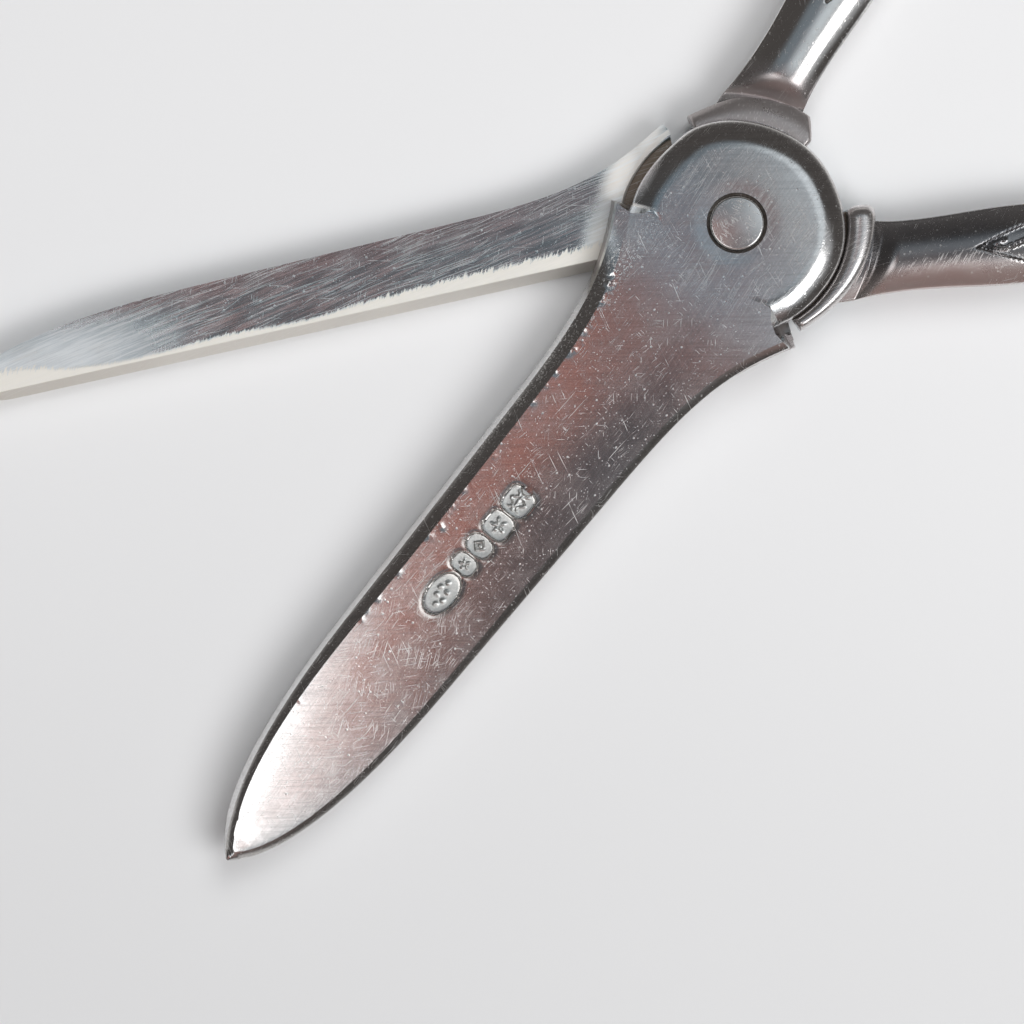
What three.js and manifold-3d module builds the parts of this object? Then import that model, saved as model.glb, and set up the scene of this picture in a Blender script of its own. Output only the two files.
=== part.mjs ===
// Grape shears in silver: two crossed arms that turn on one rivet.
// Millimetres, +Z up. The pivot axis is Z, the shears lie on Z = 0, and +X runs from the
// pivot towards the tips, midway between the opened blades.
// Each arm is drawn in its own frame first: the pivot at the origin and +X along its blade.
import * as THREE from "three";
import { mergeVertices } from "three/addons/utils/BufferGeometryUtils.js";
import Module from "manifold-3d";

const wasm = await Module();
wasm.setup();

// Driving dimensions of the whole
const bladeLength = 62; // pivot to tip
const handleLength = 108; // pivot to the far end of a bow
const openAngle = 38.8; // between the two blades as laid down
const openSpare = 2.9; // how much further they open before they meet their stop

// Lap joint
const jointThickness = 5.6;
const lapHeight = 2.5; // where the two discs meet
const bladeHeight = 3.1; // where the two blades pass
const lapClearance = 0.1;
const discRadius = 7.9;
const discOffset = 0.45; // the rivet hole is drilled this far off the disc's middle
const recessGap = 0.15; // between a disc's rim and the other arm's recess
const discBevelWidth = 1.25;
const discBevelDrop = 1.2;
const discBevelAngle = 68; // how far the rim's round has turned where it meets the wall

// Rivet
const shankRadius = 1.6;
const shankClearance = 0.1;
const headRadius = 2.08;
const headThickness = 0.9;
const headEdge = 0.18; // the hammered head's rounded edge
const headGroove = 0.23; // open groove between the head and its counterbore
const sinkClearance = 0.1;

// Blades
const bladeRootHalfWidth = 9.6;
const bladeWaistHalfWidth = 5.3;
const bladeBellyHalfWidth = 4.95;
const tipHalfWidth = 0.12;
const bladeRootAt = 3.4;
const bladeWaistAt = 25;
const bladeBellyAt = 42;
const faceRunsLevelTo = 6; // from here the outer faces fall towards the tips
const frontFaceFall = 1.3;
const rearFaceFall = 1.1;
const faceFallPower = 1.6;
const bevelWidth = 1.06;
const bevelDrop = 0.7;
const wallDraft = 0.35;
const rearInset = 0.6; // the rear blade stands this far inside the front one's edge
const rearEdgeReach = 0.29; // its cutting edge, past its own centre line
const rearFootReach = 0.98; // and the foot of the wall under that edge
const flangeGap = 0.25; // front blade's flange to the closed rear blade
const flangeLift = 0.2; // the flange stands this far above the rear blade's face
const flangeEdge = 0.35;
const flangeRunsOutAt = 50; // the flange dies away from here to the tip
const flangeTipDepth = 0.06;

// Ears at the blades' roots: the backs of the blades beside the joint. Angles from the blade's
// middle line, at the recess. The front one's flange side is the stop for opening.
const flangeEar = { angle: 67, lean: 12 };
const plateEar = { angle: 62, lean: -6 };
const rearEar = { angle: 67.5, lean: 8 };
const earStep = 1.5; // the plate's ears are cut this deep from its face

// Shoulders that hug the other arm's disc. Angles from the line behind the pivot; spare is
// the turn left at rest before the shoulder's far end meets the other arm's ear.
const shoulderStep = 1.3; // own disc's face to the shoulder's flat side
const shoulderFarStep = 0.7; // other disc's face to the crest of the bead
const beadDrop = 1.15;
const shoulderRoot = 6.6; // the shoulder is rooted in its own disc from here
const shoulderTaperFrom = 0.6; // share of its sweep past which the wall gets thinner
const frontShoulder = { from: -3.5, lean: 7.5, spare: 11, wall: 1.35, endWall: 0.75 };
const rearShoulder = { from: 5, lean: 1.5, spare: openSpare, wall: 1.85, endWall: 1.05 };

// Handles
const frontStemOffset = 4.0; // stem's middle from the arm's centre line, at its root
const rearStemOffset = 4.75;
const stemRootAt = 7; // behind the pivot, inside the shoulder
const stemSplay = 6.2; // degrees
const stemRootWidth = 5.9;
const stemNeckWidth = 5.0;
const stemPanelWidth = 6.3;
const stemEndWidth = 5.0;
const stemFlareWidth = 7.6; // where it flows into the bow
const stemThickness = 4.2;
const stemRoundness = 2.5; // power of the section's superellipse
const seamGap = 0.08; // stem's butt end to the shoulder that it is soldered to
const bowLength = 38.6;
const bowWidth = 28.2;
const bowBandWidth = 4.5;
const bowBandThickness = 4.0;
const bowTilt = 7; // degrees, outwards
const bowSideGap = 0.4; // bow to the arm's centre line
const bowRoundness = 2.3;
const bowRestsAt = 0; // the bows lie on the table beside the joint

// Sunk panel on both faces of each stem
const panelFrom = 17.3;
const panelTo = 66;
const panelHalfWidth = 1.9;
const panelPoint = 7; // length over which its ends come to a point
const panelTip = 0.03; // half the width that is left at its points
const panelDepth = 0.4;

// How finely the curves are cut
const stationsPerCurve = 12;
const circleSides = 72;
const stemStations = 36;
const sectionSides = 20;
const bowStations = 44;
const panelStations = 20;
const discRimFacets = 5;
const shoulderStations = 16;
const beadFacets = 6;
const beadRoundness = 0.8; // power of the bead's rise
const overrun = 1; // every cutter runs this far past what it cuts

const recessRadius = discRadius + discOffset + recessGap;
const sinkRadius = headRadius + headGroove;

const silver = { color: 0xd9d6d0, roughness: 0.22, metalness: 1 };
const rubbedSilver = { color: 0xc9c5be, roughness: 0.34, metalness: 1 };

const radians = THREE.MathUtils.degToRad;
const mix = THREE.MathUtils.lerp;
const smooth = THREE.MathUtils.smoothstep;

// Even steps from one value to another
const shares = (count, from = 0, to = 1) =>
  Array.from({ length: count + 1 }, (_, i) => mix(from, to, i / count));

// A closed three.js geometry as a solid
function solidFrom(geometry) {
  const bare = geometry.index ? geometry.toNonIndexed() : geometry.clone();
  bare.deleteAttribute("normal");
  bare.deleteAttribute("uv");
  const merged = mergeVertices(bare, 1e-4);
  const made = new wasm.Manifold(
    new wasm.Mesh({
      numProp: 3,
      vertProperties: merged.attributes.position.array,
      triVerts: new Uint32Array(merged.index.array),
    }),
  );
  return made;
}

// A solid as a three.js geometry
function geometryFrom(solid) {
  const mesh = solid.getMesh();
  const position = new Float32Array(mesh.numVert * 3);
  for (let i = 0; i < mesh.numVert; i++) {
    position.set(mesh.vertProperties.subarray(i * mesh.numProp, i * mesh.numProp + 3), i * 3);
  }
  const geometry = new THREE.BufferGeometry();
  geometry.setAttribute("position", new THREE.BufferAttribute(position, 3));
  geometry.setIndex(new THREE.BufferAttribute(mesh.triVerts, 1));
  geometry.computeVertexNormals();
  return geometry;
}

// Six times the volume inside a list of triangles, negative if they face inwards
function signedVolume(points, triangles) {
  let sum = 0;
  for (const [a, b, c] of triangles) {
    sum += points[a].dot(new THREE.Vector3().crossVectors(points[b], points[c]));
  }
  return sum;
}

// A skin over rows of points, one row for each station. A loop's last row meets its first;
// otherwise both ends are capped with the triangles of the flat outline given as cap.
function skin(rows, { loop = false, cap = null } = {}) {
  const count = rows[0].length;
  const points = rows.flat();
  const triangles = [];
  const last = loop ? rows.length : rows.length - 1;
  for (let i = 0; i < last; i++) {
    const here = i * count;
    const next = ((i + 1) % rows.length) * count;
    for (let j = 0; j < count; j++) {
      const k = (j + 1) % count;
      triangles.push([here + j, next + j, next + k], [here + j, next + k, here + k]);
    }
  }
  if (!loop) {
    const end = (rows.length - 1) * count;
    for (const [a, b, c] of THREE.ShapeUtils.triangulateShape(cap.first, [])) {
      triangles.push([a, b, c]);
    }
    for (const [a, b, c] of THREE.ShapeUtils.triangulateShape(cap.last, [])) {
      triangles.push([end + a, end + c, end + b]);
    }
  }
  const flip = signedVolume(points, triangles) < 0;
  const geometry = new THREE.BufferGeometry().setFromPoints(points);
  geometry.setIndex(triangles.flatMap(([a, b, c]) => (flip ? [a, c, b] : [a, b, c])));
  return solidFrom(geometry);
}

// Flat sections, each put in place by a function of its station
function loft(stations, section, place) {
  const flats = stations.map(section);
  if (THREE.ShapeUtils.isClockWise(flats[0])) flats.forEach((flat) => flat.reverse());
  const rows = flats.map((flat, i) => flat.map((p) => place(p, stations[i])));
  return skin(rows, { cap: { first: flats[0], last: flats[flats.length - 1] } });
}

// A turned body about Z from a profile of radius and height that starts and ends on the axis
function turned(profile) {
  const points = profile.map(([r, z]) => new THREE.Vector2(r, z));
  const geometry = new THREE.LatheGeometry(points, circleSides);
  geometry.rotateX(Math.PI / 2);
  const solid = solidFrom(geometry);
  return solid.volume() > 0 ? solid : solidFrom(mirrored(geometry));
}

// The same surface with every face turned round
function mirrored(geometry) {
  const turnedRound = geometry.clone();
  const index = Array.from(turnedRound.index.array);
  for (let i = 0; i < index.length; i += 3) {
    [index[i + 1], index[i + 2]] = [index[i + 2], index[i + 1]];
  }
  turnedRound.setIndex(index);
  return turnedRound;
}

const cylinder = (radius, low, high) =>
  turned([[0, low], [radius, low], [radius, high], [0, high]]);

// A flat outline raised from one height to another
function prism(outline, low, high) {
  const shape = new THREE.Shape(outline.map(([x, y]) => new THREE.Vector2(x, y)));
  const geometry = new THREE.ExtrudeGeometry(shape, { depth: high - low, bevelEnabled: false });
  return solidFrom(geometry.translate(0, 0, low));
}

const polar = (radius, degrees) => [
  radius * Math.cos(radians(degrees)),
  radius * Math.sin(radians(degrees)),
];

// Half of the blades' spear-shaped outline, from the root to the tip
function bladeStations() {
  const outline = new THREE.Path();
  const rootRun = bladeWaistAt - bladeRootAt;
  const rootFall = bladeRootHalfWidth - bladeWaistHalfWidth;
  const tipRun = bladeLength - bladeBellyAt;
  outline.moveTo(bladeRootAt, bladeRootHalfWidth);
  outline.bezierCurveTo(
    bladeRootAt + rootRun * 0.31,
    bladeRootHalfWidth - rootFall * 0.97,
    bladeRootAt + rootRun * 0.49,
    bladeWaistHalfWidth + rootFall * 0.05,
    bladeWaistAt,
    bladeWaistHalfWidth,
  );
  outline.lineTo(bladeBellyAt, bladeBellyHalfWidth);
  outline.bezierCurveTo(
    bladeBellyAt + tipRun * 0.45,
    bladeBellyHalfWidth * 0.96,
    bladeBellyAt + tipRun * 0.86,
    bladeBellyHalfWidth * 0.72,
    bladeLength,
    tipHalfWidth,
  );
  const points = outline.getPoints(stationsPerCurve);
  return points.map((p, i) => {
    const before = points[Math.max(i - 1, 0)];
    const after = points[Math.min(i + 1, points.length - 1)];
    const slope = (after.y - before.y) / (after.x - before.x);
    return { x: p.x, half: p.y, secant: Math.hypot(1, slope) };
  });
}

// How far a blade's outer face has fallen at x
function faceFall(x, fall) {
  const share = Math.max(x - faceRunsLevelTo, 0) / (bladeLength - faceRunsLevelTo);
  return fall * Math.pow(share, faceFallPower);
}

// The bevel's width and drop at a station; near the tip both bevels meet in a ridge
function bevelAt({ half, secant }) {
  const full = bevelWidth * secant;
  const width = Math.min(full, half * 0.72);
  return { width, drop: bevelDrop * (width / full) };
}

// Points along one rounded bevel, from the wall up to the face
const bevelShares = [
  [0, 0],
  [0.22, 0.46],
  [0.55, 0.82],
  [1, 1],
];

// Front blade: a plate over the full width, and a flange down its spine half
function frontBladeSection(station) {
  const { x, half } = station;
  const middle = discOffset * (1 - x / bladeLength);
  const bevel = bevelAt(station);
  const wall = Math.min(wallDraft, half * 0.2);
  const edge = jointThickness - faceFall(x, frontFaceFall) - bevelDrop;
  const plate = bladeHeight + lapClearance / 2;
  const deep = faceFall(x, rearFaceFall) + flangeLift;
  const flange = mix(deep, plate - flangeTipDepth, smooth(x, flangeRunsOutAt, bladeLength));
  const spine = middle + half;
  const flangeTop = Math.min(rearEdgeReach + flangeGap, half * 0.3 + middle);
  const flangeFoot = Math.min(rearFootReach + flangeGap, half * 0.55 + middle);
  const corner = Math.min(flangeEdge, half * 0.15);
  const left = bevelShares.map(([across, up]) => [
    middle - half + wall + bevel.width * across,
    edge + bevel.drop * up,
  ]);
  const right = left.map(([y, z]) => [2 * middle - y, z]).reverse();
  return [
    [middle - half, plate],
    ...left,
    ...right,
    [spine, plate],
    [spine - corner * 0.3, Math.min(flange + flangeEdge, mix(flange, plate, 0.5))],
    [spine - corner, flange],
    [flangeFoot, flange],
    [flangeTop, plate],
  ].map(([y, z]) => new THREE.Vector2(y, z));
}

// Rear blade: the spine half only, its flat inner face up
function rearBladeSection(station) {
  const { x } = station;
  const half = station.half - Math.min(rearInset, station.half * 0.2);
  const bevel = bevelAt({ half: half * 0.6, secant: station.secant });
  const inner = bladeHeight - lapClearance / 2;
  const sole = faceFall(x, rearFaceFall);
  const edge = Math.min(rearEdgeReach, half * 0.2);
  const foot = Math.min(rearFootReach, half * 0.4);
  const left = bevelShares.map(([across, up]) => [
    -half + bevel.width * across,
    sole + bevelDrop - bevel.drop * up,
  ]);
  const right = bevelShares.map(([across, up]) => [
    foot - bevel.width * across,
    sole + bevelDrop - bevel.drop * up,
  ]);
  return [[edge, inner], [-half, inner], ...left, ...right.reverse()].map(
    ([y, z]) => new THREE.Vector2(y, z),
  );
}

// What is cut away behind an ear, on the side given by sign and between two heights
function earCut({ angle, lean }, sign, low, high) {
  const corner = polar(recessRadius, sign * angle);
  const along = polar(bladeRootHalfWidth, sign * (angle - lean));
  const inner = [corner[0] - along[0] / 2, corner[1] - along[1] / 2];
  const outer = [corner[0] + along[0], corner[1] + along[1]];
  const back = polar(2 * bladeRootHalfWidth, sign * (angle + 50));
  const outline = sign > 0 ? [inner, outer, back] : [inner, back, outer];
  return prism(outline, low, high);
}

// A disc with its rounded rim, its outer face at one height and the lap face at another
function disc(face, lap) {
  const up = Math.sign(face - lap);
  const full = radians(discBevelAngle);
  const rim = shares(discRimFacets, 0, full).map((turn) => [
    discRadius - discBevelWidth * (1 - Math.sin(turn) / Math.sin(full)),
    face - up * discBevelDrop * ((1 - Math.cos(turn)) / (1 - Math.cos(full))),
  ]);
  return turned([[0, face], ...rim, [discRadius, lap], [0, lap]]);
}

// A shoulder of the front arm, or of the rear one where up is 1: flat on its own disc's side,
// a rounded bead on the other side, rooted in its own disc
function shoulder({ from, lean, spare, wall, endWall }, otherEar, side, up) {
  const own = up > 0 ? 0 : jointThickness;
  const flat = own + up * shoulderStep;
  const crest = own + up * (jointThickness - shoulderFarStep);
  const lap = lapHeight - (up * lapClearance) / 2;
  const to = 180 - openAngle - otherEar.angle - spare;
  const section = (share) => {
    const reach = mix(wall, endWall, smooth(share, shoulderTaperFrom, 1)) / 2;
    const middle = recessRadius + reach;
    const bead = shares(beadFacets, 0, Math.PI).map((turn) => {
      const rise = Math.pow(Math.sin(turn), beadRoundness);
      return [middle + reach * Math.cos(turn), crest - up * beadDrop * (1 - rise)];
    });
    const foot = [[shoulderRoot, flat], [middle + reach, flat]];
    return [...foot, ...bead, [recessRadius, lap], [shoulderRoot, lap]].map(
      ([r, z]) => new THREE.Vector2(r, z),
    );
  };
  return loft(shares(shoulderStations), section, (p, share) => {
    const out = Math.max(p.x - recessRadius, 0) / wall;
    const degrees = mix(from, to, share) + lean * out * (1 - share);
    const angle = Math.PI - side * radians(degrees);
    return new THREE.Vector3(p.x * Math.cos(angle), p.x * Math.sin(angle), p.y);
  });
}

// A superellipse, flat in the plane of its section
function roundSection(width, thickness, power) {
  return Array.from({ length: sectionSides }, (_, i) => {
    const turn = (2 * Math.PI * i) / sectionSides;
    const across = Math.cos(turn);
    const up = Math.sin(turn);
    return new THREE.Vector2(
      (width / 2) * Math.sign(across) * Math.pow(Math.abs(across), 2 / power),
      (thickness / 2) * Math.sign(up) * Math.pow(Math.abs(up), 2 / power),
    );
  });
}

// The middle of a bow, and the point where its stem comes in, as distance behind the pivot
// and distance from the arm's centre line
const bowA = (bowLength - bowBandWidth) / 2;
const bowB = (bowWidth - bowBandWidth) / 2;
const bowHalfSpan = Math.hypot(bowA * Math.sin(radians(bowTilt)), bowB * Math.cos(radians(bowTilt)));
const bowMiddle = {
  back: handleLength - bowLength / 2,
  out: bowHalfSpan + bowBandWidth / 2 + bowSideGap,
};
const bowFront = {
  back: bowMiddle.back - bowA * Math.cos(radians(bowTilt)),
  out: bowMiddle.out - bowA * Math.sin(radians(bowTilt)),
};

// The stem's middle line in plan
function stemCurve(offset, side) {
  const reach = (bowFront.back - stemRootAt) / 3;
  const at = (back, out, height) => new THREE.Vector3(-back, side * out, height);
  const bowHeight = bowRestsAt + bowBandThickness / 2;
  return new THREE.CubicBezierCurve3(
    at(stemRootAt, offset, jointThickness / 2),
    at(stemRootAt + reach, offset + reach * Math.tan(radians(stemSplay)), jointThickness / 2),
    at(bowFront.back - reach, bowFront.out - reach * Math.tan(radians(bowTilt)), bowHeight),
    at(bowFront.back, bowFront.out, bowHeight),
  );
}

// The stem's width at a distance behind the pivot
function stemWidth(back) {
  const neck = mix(stemRootWidth, stemNeckWidth, smooth(back, stemRootAt, panelFrom * 0.72));
  const panel = mix(neck, stemPanelWidth, smooth(back, panelFrom * 0.78, panelFrom + panelPoint));
  const end = mix(panel, stemEndWidth, smooth(back, panelTo - 3 * panelPoint, panelTo - panelPoint / 2));
  return mix(end, stemFlareWidth, smooth(back, panelTo - panelPoint / 2, bowFront.back));
}

// Puts a flat section upright across a curve
function across(curve, p, t) {
  const middle = curve.getPoint(t);
  const along = curve.getTangent(t).setZ(0).normalize();
  return new THREE.Vector3(middle.x - along.y * p.x, middle.y + along.x * p.x, middle.z + p.y);
}

// It is as thick as the bow where it flows into it
function stem(curve) {
  return loft(
    shares(stemStations),
    (t) => {
      const back = -curve.getPoint(t).x;
      const thickness = mix(stemThickness, bowBandThickness, smooth(back, panelTo, bowFront.back));
      return roundSection(stemWidth(back), thickness, stemRoundness);
    },
    (p, t) => across(curve, p, t),
  );
}

// The finger ring, an oval band
function bow(side) {
  const stations = Array.from({ length: bowStations }, (_, i) => (2 * Math.PI * i) / bowStations);
  const tilt = radians(bowTilt);
  const section = roundSection(bowBandWidth, bowBandThickness, bowRoundness);
  const rows = stations.map((turn) => {
    const normal = new THREE.Vector2(Math.cos(turn) / bowA, Math.sin(turn) / bowB).normalize();
    return section.map((p) => {
      const u = bowA * Math.cos(turn) + normal.x * p.x;
      const v = bowB * Math.sin(turn) + normal.y * p.x;
      const back = bowMiddle.back + u * Math.cos(tilt) - v * Math.sin(tilt);
      const out = bowMiddle.out + u * Math.sin(tilt) + v * Math.cos(tilt);
      return new THREE.Vector3(-back, side * out, bowRestsAt + bowBandThickness / 2 + p.y);
    });
  });
  return skin(rows, { loop: true });
}

// The lens-shaped panel sunk in a stem's upper face where up is 1, or in its lower face
function panelCut(curve, up) {
  const length = bowFront.back - stemRootAt;
  const t = (back) => (back - stemRootAt) / length;
  const floor = stemThickness / 2 - panelDepth;
  return loft(
    shares(panelStations, t(panelFrom), t(panelTo)),
    (at) => {
      const back = -curve.getPoint(at).x;
      const open = THREE.MathUtils.clamp(Math.min(back - panelFrom, panelTo - back) / panelPoint, 0, 1);
      const half = Math.max(panelHalfWidth * Math.sin((Math.PI / 2) * open), panelTip);
      return [
        [-half, floor],
        [half, floor],
        [half, floor + overrun],
        [-half, floor + overrun],
      ].map(([y, z]) => new THREE.Vector2(y, up * z));
    },
    (p, at) => across(curve, p, at),
  );
}

// The two soldered pieces of one arm. The front arm's own disc is the upper one (up is -1:
// its lap faces down), the rear arm's is the lower one (up is 1).
function arm({ section, cuts, otherEar, shoulderSize, stemOffset, side, up }) {
  const face = up > 0 ? 0 : jointThickness;
  const lap = lapHeight - (up * lapClearance) / 2;
  const beyond = up > 0 ? jointThickness + overrun : -overrun;
  const column = (radius, a, b) => cylinder(radius, Math.min(a, b), Math.max(a, b));
  const through = (radius) => column(radius, -overrun, jointThickness + overrun);
  const place = (p, station) => new THREE.Vector3(station.x, p.x, p.y);

  let blade = loft(bladeStations(), section, place);
  for (const cut of cuts) blade = blade.subtract(cut);
  blade = blade
    .add(shoulder(shoulderSize, otherEar, side, up))
    .subtract(column(recessRadius, lap, beyond))
    .add(disc(face, lap).translate([0, -up * discOffset, 0]))
    .subtract(through(shankRadius + shankClearance))
    .subtract(column(sinkRadius, face - up * overrun, face + up * (headThickness + sinkClearance)));

  const curve = stemCurve(stemOffset, side);
  const handle = stem(curve)
    .subtract(through(recessRadius + shoulderSize.wall + seamGap))
    .add(bow(side))
    .subtract(panelCut(curve, 1))
    .subtract(panelCut(curve, -1));
  return { blade, handle };
}

// Both heads are hammered down flush with the discs' faces
function rivet() {
  const half = [
    [headRadius - headEdge, 0],
    [headRadius, headEdge],
    [headRadius, headThickness],
    [shankRadius, headThickness],
  ];
  const top = half.map(([r, z]) => [r, jointThickness - z]).reverse();
  return turned([[0, 0], ...half, ...top, [0, jointThickness]]);
}

function named(name, solid, finish) {
  const mesh = new THREE.Mesh(geometryFrom(solid), new THREE.MeshStandardMaterial(finish));
  mesh.name = name;
  return mesh;
}

const allHeight = [-overrun, jointThickness + overrun];
const plateHeight = [jointThickness - earStep, jointThickness + overrun];

const front = arm({
  section: frontBladeSection,
  cuts: [
    earCut(flangeEar, 1, ...allHeight),
    earCut(plateEar, 1, ...plateHeight),
    earCut(plateEar, -1, ...allHeight),
  ],
  otherEar: rearEar,
  shoulderSize: frontShoulder,
  stemOffset: frontStemOffset,
  side: -1,
  up: -1,
});
const rear = arm({
  section: rearBladeSection,
  cuts: [earCut(rearEar, -1, ...allHeight)],
  otherEar: flangeEar,
  shoulderSize: rearShoulder,
  stemOffset: rearStemOffset,
  side: 1,
  up: 1,
});

const frontArm = new THREE.Group();
frontArm.rotation.z = radians(openAngle / 2);
frontArm.add(named("front_blade", front.blade, silver), named("front_handle", front.handle, silver));

const rearArm = new THREE.Group();
rearArm.rotation.z = -radians(openAngle / 2);
rearArm.add(named("rear_blade", rear.blade, silver), named("rear_handle", rear.handle, silver));

const shears = new THREE.Group();
shears.add(rearArm, frontArm, named("pivot_rivet", rivet(), rubbedSilver));

export default shears;
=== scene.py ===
"""Silver grape shears: the fine surfaces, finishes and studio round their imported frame.

Sizes inside the classes are in millimetres and become metres where a mesh is made. Each arm's
pieces are drawn in that arm's own frame, the pivot at the origin and +X along its blade, and
their objects are then turned to where the arm lies at rest.
"""

from __future__ import annotations

import logging
import math
from collections.abc import Callable
from dataclasses import dataclass
from enum import Enum

import bmesh
import bpy
import numpy as np
from mathutils import Matrix, Vector
from mathutils.geometry import delaunay_2d_cdt

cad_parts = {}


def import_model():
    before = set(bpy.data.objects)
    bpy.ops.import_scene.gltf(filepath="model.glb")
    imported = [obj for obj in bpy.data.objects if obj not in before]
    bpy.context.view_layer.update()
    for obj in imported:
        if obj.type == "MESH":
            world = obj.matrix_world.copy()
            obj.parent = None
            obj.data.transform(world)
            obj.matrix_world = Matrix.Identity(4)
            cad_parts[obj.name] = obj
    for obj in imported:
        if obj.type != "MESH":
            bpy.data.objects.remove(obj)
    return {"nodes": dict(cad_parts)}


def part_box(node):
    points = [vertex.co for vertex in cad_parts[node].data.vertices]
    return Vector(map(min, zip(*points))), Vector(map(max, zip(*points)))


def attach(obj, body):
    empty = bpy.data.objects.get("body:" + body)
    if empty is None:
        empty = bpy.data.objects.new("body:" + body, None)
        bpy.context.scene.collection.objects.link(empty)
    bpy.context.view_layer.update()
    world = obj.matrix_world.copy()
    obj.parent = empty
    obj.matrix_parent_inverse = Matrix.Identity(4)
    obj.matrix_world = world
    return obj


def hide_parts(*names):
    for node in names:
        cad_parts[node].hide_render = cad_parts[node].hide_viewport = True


LOG = logging.getLogger("grape_shears")
MM = 0.001
OVERRUN = 1.0  # how far a tool runs past what it cuts
BELOW = -3.0  # a height under every piece, where deep tools start
ASIDE = 15.0  # a distance across that clears every blade
ROUND = 360  # steps round the joint
CHUNK = 4000  # points that are compared with a line at once
WELD = 0.5e-3  # points closer than this become one
WEDGE = 50.0  # degrees that a tool beside an ear or a shoulder spans
SHARP_ANGLE = math.radians(32)
CREASE_ANGLE = math.radians(21)
BLUNT_ANGLE = math.radians(50)


class Arm(Enum):
    """The two arms: the front one carries the upper disc and the broad blade."""

    FRONT = "front"
    REAR = "rear"

    @property
    def up(self) -> int:
        """1 where the arm's lap face looks up, -1 where it looks down."""
        return 1 if self is Arm.REAR else -1

    @property
    def body(self) -> str:
        """Name of the body that the arm's pieces ride on."""
        return f"{self.value}_arm"


class Cut(Enum):
    """What a boolean does with its tool."""

    JOIN = "UNION"
    TAKE_AWAY = "DIFFERENCE"


def smooth(x: np.ndarray | float, low: float, high: float) -> np.ndarray:
    """Smooth step from 0 at low to 1 at high."""
    share = np.clip((np.asarray(x, float) - low) / (high - low), 0, 1)
    return share * share * (3 - 2 * share)


def mix(a: float | np.ndarray, b: float | np.ndarray, share: float | np.ndarray) -> np.ndarray:
    """Value between a and b at a share from 0 to 1."""
    return np.asarray(a) + (np.asarray(b) - np.asarray(a)) * share


def polar(radius: float, degrees: float) -> np.ndarray:
    """Point in plan at a radius and an angle."""
    return radius * np.array([math.cos(math.radians(degrees)), math.sin(math.radians(degrees))])


def sky(azimuth: float, elevation: float, away: float = 1.0) -> tuple:
    """Place at a distance in a direction of the sky."""
    flat = polar(math.cos(math.radians(elevation)) * away, azimuth)
    return *flat, math.sin(math.radians(elevation)) * away


def spread(radius: np.ndarray, angle: np.ndarray, level: np.ndarray | float) -> np.ndarray:
    """Points in space at distances from the pivot axis, angles in radians and heights."""
    return np.c_[radius * np.cos(angle), radius * np.sin(angle), level + 0 * radius]


def bezier(ends: tuple, handles: tuple, count: int = 200) -> np.ndarray:
    """Points along a cubic curve in plan.

    Args:
        ends: first and last point.
        handles: the two handles between them.
        count: how many steps to take.

    Returns:
        Array of count + 1 points.
    """
    t = np.linspace(0, 1, count + 1)[:, None]
    a, d = np.array(ends, float)
    b, c = np.array(handles, float)
    return (1 - t) ** 3 * a + 3 * (1 - t) ** 2 * t * b + 3 * (1 - t) * t**2 * c + t**3 * d


def even(line: np.ndarray, step: float) -> np.ndarray:
    """The same open line with points at even distances of about step."""
    run = np.r_[0, np.cumsum(np.hypot(*np.diff(line, axis=0).T))]
    count = max(int(round(run[-1] / step)), 1)
    marks = np.linspace(0, run[-1], count + 1)
    return np.c_[np.interp(marks, run, line[:, 0]), np.interp(marks, run, line[:, 1])]


def distance(points: np.ndarray, line: np.ndarray) -> np.ndarray:
    """Shortest distance from each point in plan to an open line."""
    best = np.full(len(points), np.inf)
    start, along = line[:-1], np.diff(line, axis=0)
    length = (along**2).sum(1)
    for first in range(0, len(points), CHUNK):
        part = points[first : first + CHUNK, None, :] - start[None]
        share = np.clip((part * along).sum(2) / length, 0, 1)
        gap = np.hypot(*np.moveaxis(part - share[..., None] * along, 2, 0))
        best[first : first + CHUNK] = gap.min(1)
    return best


def within(points: np.ndarray, loop: np.ndarray, gap: float) -> np.ndarray:
    """Whether each point in plan lies inside a closed loop and farther than a gap from it."""
    return inside(points, loop) & (distance(points, np.r_[loop, loop[:1]]) > gap)


def lattice(low: np.ndarray, high: np.ndarray, step: float, shift: float = 0) -> np.ndarray:
    """Points in rows over an area, every second row moved by a shift."""
    x, y = (np.arange(low[k], high[k], step) for k in (0, 1))
    across, up = np.meshgrid(x, y)
    across = across + (np.arange(len(y)) % 2)[:, None] * shift
    return np.c_[across.ravel(), up.ravel()]


def headings(line: np.ndarray) -> np.ndarray:
    """Directions along a line in plan, each of length 1."""
    run = np.gradient(line, axis=0)
    return run / np.hypot(*run.T)[:, None]


def raised(value: np.ndarray, power: float | np.ndarray) -> np.ndarray:
    """A value raised to a power, with its sign kept."""
    return np.sign(value) * np.abs(value) ** power


def inside(points: np.ndarray, loop: np.ndarray) -> np.ndarray:
    """Whether each point in plan lies inside a closed loop."""
    x, y = points[:, 0], points[:, 1]
    result = np.zeros(len(points), bool)
    for (ax, ay), (bx, by) in zip(loop, np.roll(loop, -1, axis=0)):
        if ay == by:
            continue
        crosses = (ay > y) != (by > y)
        result ^= crosses & (x < (bx - ax) * (y - ay) / (by - ay) + ax)
    return result


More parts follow.
